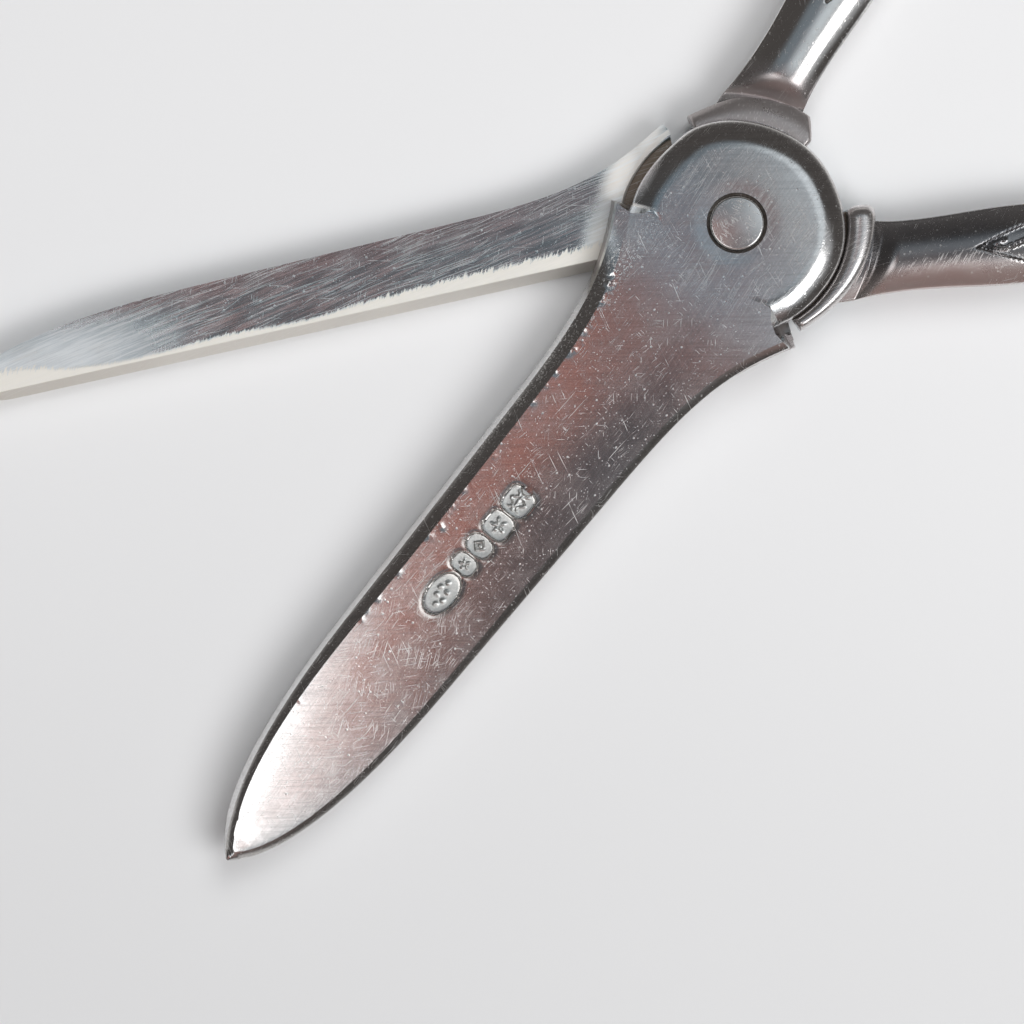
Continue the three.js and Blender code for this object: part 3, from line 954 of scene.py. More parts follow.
    def plan_points(self, loop: np.ndarray, stretches: tuple) -> np.ndarray:
        """Points inside the outline: rings along its edges, a grid, and a finer one at the marks.

        Args:
            loop: the whole outline.
            stretches: its stretches, as loop() gives them.

        Returns:
            Array of x and y.
        """
        upper, _, arc, _, lower = stretches
        first, last = self.marks[0], self.marks[-1]
        ends, below, above = self.fine_margins
        low = np.array([first.at - first.half_long - ends, first.across - below])
        high = np.array([last.at + last.half_long + ends, first.across + above])
        fine = lattice(low, high, self.fine_grid)
        coarse = lattice(loop.min(0), loop.max(0), self.grid, self.grid / 2)
        beside = (coarse < low - self.mark_room) | (coarse > high + self.mark_room)
        coarse = coarse[beside.any(1)]
        edge_gap = np.minimum(distance(coarse, upper), distance(coarse, lower))
        inward = self.joint.inward(Arm.FRONT, coarse)
        clear = inward > self.rim_rings[-1] + self.rim_room
        clear |= coarse[:, 0] > self.joint.disc_radius - self.disc_overlap
        coarse = coarse[(edge_gap > self.edge_room) & clear]
        points = np.concatenate([*self.edge_points(upper, lower, arc), coarse, fine])
        return points[within(points, loop, self.point_gap)]

    def steps(self) -> list:
        """Lines at the head and foot of the sloped backs of the plate's ears, as pairs."""
        lines = []
        for sign in (1, -1):
            corner, along, normal = PLATE_EAR.line(self.joint, sign)
            end = corner + along * self.back_outside if sign > 0 else self.side(sign)[0]
            line = even(np.array([corner - along * self.back_inside, end]), 0.07)
            wide = np.interp(np.linspace(0, 1, len(line)), *self.ear_back)[:, None]
            lines.append((line - normal * wide, line))
        return lines

    def top(self) -> bpy.types.Object:
        """A block whose upper side is the blade's outer face."""
        stretches = self.loop()
        upper, ear_up, arc, ear_low, lower = stretches
        loop = np.r_[upper[::-1], ear_up[1:], arc[1:], ear_low[1:], lower[1:]]
        points = self.plan_points(loop, stretches)
        for head, foot in self.steps():
            gap = np.minimum(distance(points, head), distance(points, foot))
            clear = (gap >= self.point_gap) & ~inside(points, np.r_[head, foot[::-1]])
            points = points[clear]
        edges = [(i, (i + 1) % len(loop)) for i in range(len(loop))]
        plan = [*loop]
        for line in (line for pair in self.steps() for line in pair):
            line = line[within(line, loop, self.line_gap)]
            edges += [(len(plan) + i, len(plan) + i + 1) for i in range(len(line) - 1)]
            plan += [*line]
        plan = [Vector(p) for p in (*plan, *points)]
        verts, _, faces, *_ = delaunay_2d_cdt(plan, edges, [], 1, 1e-6)
        flat = np.array([v[:] for v in verts])
        high = np.c_[flat, self.height(flat)]
        low = np.c_[flat, np.full(len(flat), -OVERRUN)]
        count = len(flat)
        sides = dict.fromkeys(pair for face in faces for pair in zip(face, face[1:] + face[:1]))
        border = [(a, b) for a, b in sides if (b, a) not in sides]
        over = [list(face) for face in faces]
        under = [[count + i for i in face[::-1]] for face in faces]
        walls = [[b, a, count + a, count + b] for a, b in border]
        return make_object("front_blade_silver", np.r_[high, low], over + under + walls)

    def under_plate(self) -> bpy.types.Object:
        """Tool for the space below the plate that the narrow blade closes into."""
        plate = self.plate_height
        rows = []
        for x in self.stations():
            half, middle = float(self.outline.half(x)), float(self.middle(x))
            top = min(EDGE_REACH + self.flange_gap, half * 0.3 + middle)
            foot = min(FOOT_REACH + self.flange_gap, half * 0.55 + middle)
            wall = [(foot, BELOW), (foot, self.sole(x)), (top, plate)]
            row = [(-ASIDE, BELOW), *wall, (-ASIDE, plate)]
            rows.append([(x, *point) for point in row])
        tool = skin("tool", np.array(rows))
        disc = self.joint.disc_line(Arm.FRONT, inward=-0.02)
        shape(tool, prism(disc, BELOW - OVERRUN, self.joint.thickness + OVERRUN), Cut.TAKE_AWAY)
        return tool

    def stations(self) -> np.ndarray:
        """Distances along the blade at which the tools under it are drawn."""
        return np.linspace(-12, self.outline.length + 2, 90)

    def sole(self, x: float) -> float:
        """Height of the flange's underside."""
        deep = float(FALL.at(x, self.outline.length, FALL.rear)) + self.flange_lift
        run_out = smooth(x, self.flange_runs_out, self.outline.length)
        return float(mix(deep, self.plate_height - self.tip_skin, run_out))

    def under_flange(self) -> bpy.types.Object:
        """Tool for the space below the flange, which leaves its outer edge rounded."""
        rows = []
        turn = np.linspace(0, math.pi / 2, 6)[::-1]
        for x in self.stations():
            half, middle = float(self.outline.half(x)), float(self.middle(x))
            edge = min(self.flange_edge, half * 0.15)
            spine, sole = middle + half, self.sole(x)
            corner = np.c_[spine - edge * (1 - np.sin(turn)), sole + edge * (1 - np.cos(turn))]
            row = [(-ASIDE, BELOW), (ASIDE, BELOW), (ASIDE, sole + edge), *corner, (-ASIDE, sole)]
            rows.append([(x, *point) for point in row])
        return skin("tool", np.array(rows))

    def build(self) -> bpy.types.Object:
        """Builds the blade.

        Returns:
            The finished piece, turned to where the front arm lies.
        """
        blade = self.top()
        shape(blade, self.under_plate(), Cut.TAKE_AWAY)
        shape(blade, self.under_flange(), Cut.TAKE_AWAY)
        lap = cylinder(self.joint.recess_radius, BELOW, self.joint.lap(Arm.FRONT))
        shape(blade, lap, Cut.TAKE_AWAY)
        shape(blade, self.shoulder.mesh(self.joint, Arm.FRONT, REAR_EAR.angle), Cut.JOIN)
        self.joint.drill(blade, Arm.FRONT)
        finish_mesh(blade, CREASE_ANGLE)
        self.joint.place(blade, Arm.FRONT)
        return blade


@dataclass(frozen=True)
class RearBlade:
    """The narrow lower blade with its disc, recess and shoulder."""

    joint: LapJoint
    outline: BladeOutline
    shoulder: Shoulder = Shoulder(
        3.4, 0.5, 2.9, 2.1, 1.0, taper_share=0.05, start_radius=0.9, start_turn=2.2
    )
    inset: float = 0.6
    bevel_width: float = 1.06
    bevel_drop: float = 0.7
    bevel_bulge: float = 0.28

    def section(self, x: float, half: float) -> list:
        """One section of the blade: flat inner face, slanted wall, bevelled sole."""
        half = half - min(self.inset, half * 0.2)
        wide = min(self.bevel_width, half * 0.45)
        inner = self.joint.blade_height - self.joint.clearance / 2
        sole = float(FALL.at(x, self.outline.length, FALL.rear))
        edge, foot = min(EDGE_REACH, half * 0.2), min(FOOT_REACH, half * 0.4)
        drop = self.bevel_drop * wide / self.bevel_width
        share = np.linspace(0, 1, 9)
        rise = sole + drop * mix(1 - share, (1 - share) ** 3, self.bevel_bulge)
        left = [(x, -half + wide * s, z) for s, z in zip(share, rise)]
        right = [(x, foot - wide * s, z) for s, z in zip(share, rise)]
        return [(x, edge, inner), (x, -half, inner), *left, *right[::-1]]

    def build(self) -> bpy.types.Object:
        """Builds the blade.

        Returns:
            The finished piece, turned to where the rear arm lies.
        """
        line = self.outline.edge(0.3)
        blade = skin("rear_blade_silver", np.array([self.section(x, half) for x, half in line]))
        high = self.joint.thickness + OVERRUN
        shape(blade, REAR_EAR.tool(self.joint, -1, -OVERRUN, high), Cut.TAKE_AWAY)
        shape(blade, self.shoulder.mesh(self.joint, Arm.REAR, FLANGE_EAR.angle), Cut.JOIN)
        shape(blade, self.joint.recess(), Cut.TAKE_AWAY)
        shape(blade, self.joint.disc(Arm.REAR), Cut.JOIN)
        self.joint.drill(blade, Arm.REAR)
        finish_mesh(blade)
        self.joint.place(blade, Arm.REAR)
        return blade


@dataclass(frozen=True)
class Rivet:
    """The silver rivet, both heads hammered and filed flush."""

    joint: LapJoint

    def build(self) -> bpy.types.Object:
        """Builds the rivet with softly worn heads."""
        joint = self.joint
        turn = np.linspace(0, math.pi / 2, 9)
        edge = joint.head_edge
        rim = np.c_[joint.head_radius - edge * (1 - np.sin(turn)), edge * (1 - np.cos(turn))]
        radii = (joint.head_radius, joint.shank_radius)
        neck = [(radius, joint.head_thickness) for radius in radii]
        half = [*rim, *neck]
        upper = [(r, joint.thickness - z) for r, z in half][::-1]
        rivet = turned("pivot_rivet_silver", [(0, 0), *half, *upper, (0, joint.thickness)])
        finish_mesh(rivet)
        return rivet


@dataclass(frozen=True)
class Ornament:
    """Relief of the sunk panel along a stem: a running vine between plain raised borders."""

    start: float = 17.3
    stop: float = 66.0
    half_width: float = 1.9
    point: float = 7.0
    depth: float = 0.4
    wall: float = 0.14
    border: float = 0.2
    border_wall: float = 0.18
    wave: float = 6.6
    sway: float = 0.5
    vine_half: float = 0.2
    vine_wall: float = 0.16
    leaf_out: float = 0.78
    leaf_sizes: tuple = (0.95, 0.62)
    relief: float = 0.78

    def half(self, back: np.ndarray) -> np.ndarray:
        """Half width of the panel at a distance behind the pivot."""
        open_share = np.clip(np.minimum(back - self.start, self.stop - back) / self.point, 0, 1)
        return self.half_width * np.sin(math.pi / 2 * open_share)

    def drop(self, back: np.ndarray, across: np.ndarray) -> np.ndarray:
        """How far the stem's face is sunk, or how far the vine stands back up."""
        half = self.half(back)
        inner = half - np.abs(across)
        ground = self.depth * smooth(inner, 0, self.wall)
        phase = (back - self.start) / self.wave * 2 * math.pi
        room = np.clip(half / self.half_width, 0, 1)
        stem = self.sway * room * np.sin(phase)
        vine = smooth(self.vine_half - np.abs(across - stem), 0, self.vine_wall)
        leaf_at = -np.sign(np.sin(phase)) * self.leaf_out * room
        half_wave = self.wave / 2
        centre = (np.floor((back - self.start) / half_wave) + 0.5) * half_wave + self.start
        long, wide = self.leaf_sizes
        du, dv = (back - centre) / long, (across - leaf_at) / wide
        r, turn = np.hypot(du, dv), np.arctan2(dv, du)
        leaf = smooth(0.82 + 0.2 * np.cos(5 * turn) - r, 0, 0.3) * room
        leaf *= 0.75 + 0.25 * np.cos(10 * turn) * smooth(r, 0.1, 0.5)
        framed = smooth(inner, self.border, self.border + self.border_wall)
        return ground * (1 - self.relief * np.maximum(vine, leaf) * framed)


@dataclass(frozen=True)
class Handle:
    """A stem with its ornamented panels, flowing into an oval finger bow."""

    joint: LapJoint
    arm: Arm
    length: float
    root_offset: float
    shoulder: Shoulder
    other_ear: float
    ornament: Ornament = Ornament()
    root_at: float = 5.6
    splay: float = 6.4
    root_width: float = 5.9
    neck_width: float = 5.3
    panel_width: float = 6.0
    end_width: float = 5.0
    flare_width: float = 7.6
    thickness: float = 4.2
    corner_at: float = 0.96
    corner_drop: float = 0.08
    dome: float = 0.43
    dome_power: float = 2.2
    bow_length: float = 38.6
    bow_width: float = 28.2
    band_width: float = 4.5
    band_thickness: float = 4.0
    bow_tilt: float = 7.0
    side_gap: float = 0.4
    collar_at: float = 68.5
    fillet: float = 2.0
    flare: float = 0.14
    root_dip: float = 1.0
    overlap: float = 0.12
    carved_rows: int = 500
    band_roundness: float = 2.3
    melt_size: float = 0.22
    melt_passes: int = 24

    @property
    def side(self) -> int:
        """Side of the arm's own centre line that the handle lies on."""
        return self.arm.up

    @property
    def half_axes(self) -> tuple:
        """Half length and half width of the bow's middle line."""
        return (self.bow_length - self.band_width) / 2, (self.bow_width - self.band_width) / 2

    @property
    def bow_middle(self) -> tuple:
        """Distance behind the pivot and from the centre line of the bow's middle."""
        a, b = self.half_axes
        tilt = math.radians(self.bow_tilt)
        span = math.hypot(a * math.sin(tilt), b * math.cos(tilt))
        return self.length - self.bow_length / 2, span + self.band_width / 2 + self.side_gap

    def centre_line(self, count: int) -> np.ndarray:
        """The stem's middle line as distance behind the pivot, distance out and height."""
        a, _ = self.half_axes
        back, out = self.bow_middle
        tilt, splay = math.radians(self.bow_tilt), math.radians(self.splay)
        end = (back - a * math.cos(tilt), out - a * math.sin(tilt))
        reach = (end[0] - self.root_at) / 3
        middle, bow = self.joint.thickness / 2, self.band_thickness / 2
        t = np.linspace(0, 1, count)[:, None]
        knots = np.array(
            [
                (self.root_at, self.root_offset, middle),
                (self.root_at + reach, self.root_offset + reach * math.tan(splay), middle),
                (end[0] - reach, end[1] - reach * math.tan(tilt), bow),
                (*end, bow),
            ]
        )
        weights = [(1 - t) ** 3, 3 * (1 - t) ** 2 * t, 3 * (1 - t) * t**2, t**3]
        return sum(w * k for w, k in zip(weights, knots))

    def width(self, back: np.ndarray) -> np.ndarray:
        """The stem's width, with a small fillet where it meets the shoulder."""
        at, to, point = self.ornament.start, self.ornament.stop, self.ornament.point
        end_at = self.bow_middle[0] - self.half_axes[0]
        wide = mix(self.root_width, self.neck_width, smooth(back, self.root_at, at * 0.72))
        wide = mix(wide, self.panel_width, smooth(back, at * 0.74, at + point * 0.5))
        wide = mix(wide, self.end_width, smooth(back, to - 3 * point, to - point / 2))
        return mix(wide, self.flare_width, smooth(back, to - point / 2, end_at))

    def section(self) -> tuple:
        """Points round a section, as shares of its half sizes, with domed faces."""
        face = np.linspace(self.corner_at, -self.corner_at, 49)
        top = 1 - self.dome * np.abs(face) ** self.dome_power
        turn = np.linspace(0, math.pi / 2, 6)[1:]
        edge = self.corner_at + (1 - self.corner_at) * np.sin(turn)
        low = top[-1] - self.corner_drop * (1 - np.cos(turn))
        side = np.linspace(low[-1], -low[-1], 6)[1:-1]
        upright = np.c_[-np.ones(len(side)), side]
        half = np.r_[np.c_[face, top], np.c_[-edge, low], upright, np.c_[-edge, -low][::-1]]
        return tuple(np.r_[half, -half].T)

    def rows(self, first: float, last: float, count: int, carved: bool) -> np.ndarray:
        """Sections of the stem between two distances behind the pivot."""
        line = self.centre_line(1200)
        marks = np.linspace(first, last, count)
        middle = np.c_[[np.interp(marks, line[:, 0], line[:, k]) for k in (0, 1, 2)]].T
        run = headings(middle[:, :2])
        wide = self.width(marks)
        end_at = self.bow_middle[0] - self.half_axes[0]
        thick = mix(self.thickness, self.band_thickness, smooth(marks, self.ornament.stop, end_at))
        across, up = self.section()
        y = wide[:, None] / 2 * across
        z = thick[:, None] / 2 * up
        if carved:
            drop = self.ornament.drop(marks[:, None] + 0 * y, y)
            z -= np.sign(z) * drop * (np.abs(across) < self.corner_at + 1e-6)
        back = middle[:, :1] - run[:, 1:] * y
        out = middle[:, 1:2] + run[:, :1] * y
        wall = self.joint.recess_radius + self.shoulder.wall
        near = np.clip(1 - (np.hypot(back, out) - wall) / self.fillet, 0, 1) ** 2
        flared = across * near * self.flare
        back, out = back - run[:, 1:] * flared, out + run[:, :1] * flared
        z -= np.sign(z) * np.abs(up) * near * self.root_dip
        return np.stack([-back, self.side * out, middle[:, 2:] + z], 2)

    def band(self) -> bpy.types.Object:
        """The oval band of the bow."""
        a, b = self.half_axes
        turn = np.linspace(0, 2 * math.pi, 200, endpoint=False)
        around = np.linspace(0, 2 * math.pi, 48, endpoint=False)
        power = 2 / self.band_roundness
        x = self.band_width / 2 * raised(np.cos(around), power)
        z = self.band_thickness / 2 * raised(np.sin(around), power)
        normal = np.c_[np.cos(turn) / a, np.sin(turn) / b]
        normal /= np.hypot(*normal.T)[:, None]
        u = a * np.cos(turn)[:, None] + normal[:, :1] * x
        v = b * np.sin(turn)[:, None] + normal[:, 1:] * x
        tilt = math.radians(self.bow_tilt)
        back = self.bow_middle[0] + u * math.cos(tilt) - v * math.sin(tilt)
        out = self.bow_middle[1] + u * math.sin(tilt) + v * math.cos(tilt)
        rows = np.stack([-back, self.side * out, self.band_thickness / 2 + np.tile(z, (200, 1))], 2)
        return skin("bow", rows, loop=True)

    def bow(self) -> bpy.types.Object:
        """The bow and the end of its stem, melted into one smooth form."""
        bow = self.band()
        end_at = self.bow_middle[0] - self.half_axes[0]
        neck = skin("tool", self.rows(self.collar_at, end_at, 60, carved=False))
        shape(bow, neck, Cut.JOIN)
        melt = bow.modifiers.new("melt", "REMESH")
        melt.mode = "VOXEL"
        melt.voxel_size = self.melt_size * MM
        soften = bow.modifiers.new("soften", "SMOOTH")
        soften.factor = 0.5
        soften.iterations = self.melt_passes
        settle(bow)
        return bow

    def build(self) -> bpy.types.Object:
        """Builds the handle.

        Returns:
            The finished piece, turned to where its arm lies.
        """
        name = f"{self.arm.value}_handle_silver"
        end = self.collar_at + 5 * self.overlap
        stem = skin(name, self.rows(self.root_at, end, self.carved_rows, carved=True))
        core = self.shoulder.core(self.joint, self.arm, self.other_ear, self.overlap)
        shape(stem, core, Cut.TAKE_AWAY)
        shape(stem, self.bow(), Cut.JOIN)
        finish_mesh(stem, BLUNT_ANGLE)
        self.joint.place(stem, self.arm)
        return stem


Socket = bpy.types.NodeSocket


class Graph:
    """A node tree, built from plain calls. Values are numbers, tuples or sockets."""

    def __init__(self, owner: bpy.types.ID) -> None:
        """Starts an empty tree on a material or a world."""
        owner.use_nodes = True
        self.owner = owner
        self.tree = owner.node_tree
        self.tree.nodes.clear()

    def add(self, kind: str, inputs: dict | None = None, **settings: object) -> bpy.types.Node:
        """Adds a node, sets its settings and fills or links its inputs."""
        node = self.tree.nodes.new(kind)
        for name, value in settings.items():
            setattr(node, name, value)
        for name, value in (inputs or {}).items():
            if isinstance(value, bpy.types.NodeSocket):
                self.tree.links.new(value, node.inputs[name])
            elif value is not None:
                node.inputs[name].default_value = value
        return node

    def math(self, operation: str, a: object, b: object = None, c: object = None) -> Socket:
        """A Math node's result."""
        return self.add("ShaderNodeMath", {0: a, 1: b, 2: c}, operation=operation).outputs[0]

    def times(self, a: object, b: object) -> Socket:
        """The product of two values."""
        return self.math("MULTIPLY", a, b)

    def vector(self, operation: str, a: object, b: object = None, scale: object = None) -> Socket:
        """A Vector Math node's result, a vector or, for a length or a product, a value."""
        inputs = {0: a, 1: b, "Scale": scale}
        node = self.add("ShaderNodeVectorMath", inputs, operation=operation)
        return node.outputs["Value" if operation in ("LENGTH", "DOT_PRODUCT") else "Vector"]

    def parts(self, where: object) -> bpy.types.NodeOutputs:
        """The x, y and z of a place."""
        return self.add("ShaderNodeSeparateXYZ", {0: where}).outputs

    def fade(self, value: object, low: float, high: float, a: float = 0, b: float = 1) -> Socket:
        """A smooth step of a value from a at low to b at high."""
        inputs = {"Value": value, "From Min": low, "From Max": high, "To Min": a, "To Max": b}
        node = self.add("ShaderNodeMapRange", inputs, interpolation_type="SMOOTHSTEP")
        return node.outputs["Result"]

    def blend(self, share: object, a: object, b: object) -> Socket:
        """A colour between two."""
        a, b = ((*c, 1) if isinstance(c, tuple) and len(c) == 3 else c for c in (a, b))
        node = self.add("ShaderNodeMix", {0: share, 6: a, 7: b}, data_type="RGBA")
        return node.outputs[2]

    def noise(self, where: object, scale: float, detail: float = 2, rough: float = 0.5) -> Socket:
        """A noise texture's value."""
        inputs = {"Vector": where, "Scale": scale, "Detail": detail, "Roughness": rough}
        return self.add("ShaderNodeTexNoise", inputs).outputs[0]

    def place(
        self, where: object, angle: float, stretch: tuple, shift: tuple = (0, 0, 0)
    ) -> Socket:
        """Coordinates turned by an angle in degrees and then stretched."""
        spin = {"Vector": where, "Rotation": (0, 0, -math.radians(angle))}
        spun = self.add("ShaderNodeMapping", spin).outputs[0]
        laid = {"Vector": spun, "Location": shift, "Scale": stretch}
        return self.add("ShaderNodeMapping", laid).outputs[0]

    def blob(
        self, where: object, at: tuple, radii: tuple, angle: float = 0, soft: float = 0.6
    ) -> Socket:
        """A soft oval patch in plan: 1 in its middle, 0 outside."""
        moved = self.vector("SUBTRACT", where, (*at, 0))
        laid = self.place(moved, angle, (1 / radii[0], 1 / radii[1], 0))
        return self.fade(self.vector("LENGTH", laid), 1 - soft, 1 + soft, 1, 0)

    def curve(self, value: object, points: tuple) -> Socket:
        """A curve through points of value and result."""
        (low, high), (least, most) = ((min(k), max(k)) for k in zip(*points))
        share = self.math("DIVIDE", self.math("SUBTRACT", value, low), high - low)
        node = self.add("ShaderNodeFloatCurve", {"Value": share})
        line = node.mapping.curves[0]
        rise = max(most - least, 1e-6)
        marks = [((x - low) / (high - low), (y - least) / rise) for x, y in points]
        line.points[0].location, line.points[1].location = marks[0], marks[-1]
        for mark in marks[1:-1]:
            line.points.new(*mark)
        node.mapping.update()
        return self.math("MULTIPLY_ADD", node.outputs[0], rise, least)

    def surface(self, inputs: dict) -> bpy.types.Material:
        """Ends the material in one Principled shader."""
        shader = self.add("ShaderNodeBsdfPrincipled", inputs)
        self.add("ShaderNodeOutputMaterial", {"Surface": shader.outputs[0]})
        return self.owner

    def cells(self, where: object, scale: float, plan: bool) -> tuple:
        """Distances from scattered points, and two chances from 0 to 1 for each point."""
        settings = {"voronoi_dimensions": "2D"} if plan else {}
        cell = self.add("ShaderNodeTexVoronoi", {"Vector": where, "Scale": scale}, **settings)
        chance = self.add("ShaderNodeSeparateColor", {0: cell.outputs["Color"]}).outputs
        return cell.outputs["Distance"], chance[0], chance[1]


@dataclass(frozen=True)
class ScratchSet:
    """One family of scratches: direction, length, width, share, depth and where they lie."""

    angle: float
    long: float
    wide: float
    share: float
    depth: float
    at: tuple = ()
    radii: tuple = (1, 1)
    show: float = 1.0

    def lines(self, g: Graph, where: object, seed: float) -> Socket:
        """Separate straight scratches with tapering ends.

        Args:
            g: the node tree.
            where: coordinates in millimetres.
            seed: shift that makes this set differ from others.

        Returns:
            From 0 beside a scratch to 1 on the deepest ones.
        """
        reach = 0.34
        stretch = (2 * reach / self.long, 2 * reach / self.wide, 1)
        laid = g.place(where, self.angle, stretch, (seed, seed * 0.7, 0))
        away, first, second = g.cells(laid, 1.0, plan=True)
        chosen = self.share / (math.pi * reach**2)
        pick = g.fade(first, 1 - chosen, 1.002 - chosen)
        line = g.fade(away, reach * 0.3, reach, 1, 0)
        return g.times(g.times(line, pick), g.math("MULTIPLY_ADD", second, 0.75, 0.25))


@dataclass(frozen=True)
class ToningAndSheen:
    """A soft patch of colour on the metal, with how dull and how chalky it is there: toning, a
    painted reflection, painted shade or a painted highlight, as noted where each is laid.
    """

    at: tuple
    radii: tuple
    angle: float
    color: tuple
    share: float = 1.0
    dull: float = 0.0
    matte: float = 0.0
    soft: float = 0.7


@dataclass(frozen=True)
class TarnishAndSheen:
    """Colour on a ring about the pivot, between two heights: dark oxide in the rivet's groove, and
    at some other rings painted shade, painted reflections or a plain darker tint, as noted where
    each is made.
    """

    inner: float
    outer: float
    low: float
    high: float
    color: tuple = (0.1, 0.075, 0.055)
    share: float = 0.9
    dull: float = 0.25
    matte: float = 0.4

    def mask(self, g: Graph, where: object) -> Socket:
        """How tarnished a place is."""
        x, y, height = g.parts(where)
        radius = g.vector("LENGTH", g.add("ShaderNodeCombineXYZ", {0: x, 1: y}).outputs[0])
        ring = self.between(g, radius, (self.inner, 0.04), (self.outer, 0.05))
        band = self.between(g, height, (self.low, 0.05), (self.high, 0.12))
        return g.times(g.times(ring, band), self.share)

    @staticmethod
    def between(g: Graph, value: object, first: tuple, last: tuple) -> Socket:
        """1 where a value lies between two others, each given with the softness of its step."""
        (low, soft), (high, softer) = first, last
        rise = g.fade(value, low - soft, low + soft)
        return g.times(rise, g.fade(value, high - softer, high + softer, 1, 0))


@dataclass(frozen=True)
class WornEdge:
    """The cream strip that sharpening has left along the narrow blade's cutting edge, and a painted
    reflection of the pale table on the slanted wall below it.
    """

    edge: float = EDGE_REACH
    starts: float = 6.5
    widths: tuple = (
        (8, 1.15),
        (20, 1.0),
        (30, 0.6),
        (34, 0.3),
        (40, 0.5),
        (46, 0.25),
        (51, 0.5),
        (55, 1.3),
        (58.5, 1.6),
    )
    color: tuple = (0.95, 0.92, 0.85)
    share: float = 0.9
    # Beige painted on the slanted wall as its reflection of the pale table.
    wall_reflection: tuple = (0.8, 0.77, 0.72)
    dull: float = 0.42
    matte: float = 0.72

    def masks(self, g: Graph, where: object) -> tuple:
        """Where the strip lies, and where the slanted wall below it does."""
        x, y, _ = g.parts(where)
        wide = g.curve(x, self.widths)
        tick = g.noise(g.place(where, 62, (0.8, 5.5, 1)), 1, 4, 0.75)
        inner = g.times(wide, g.math("MULTIPLY_ADD", tick, 1.8, 0.05))
        strip = g.fade(g.math("ADD", g.math("SUBTRACT", y, self.edge), inner), -0.16, 0.14)
        ahead = g.fade(x, self.starts, self.starts + 0.3)
        wall = g.times(g.fade(y, self.edge + 0.01, self.edge + 0.08), ahead)
        return g.times(strip, ahead), wall


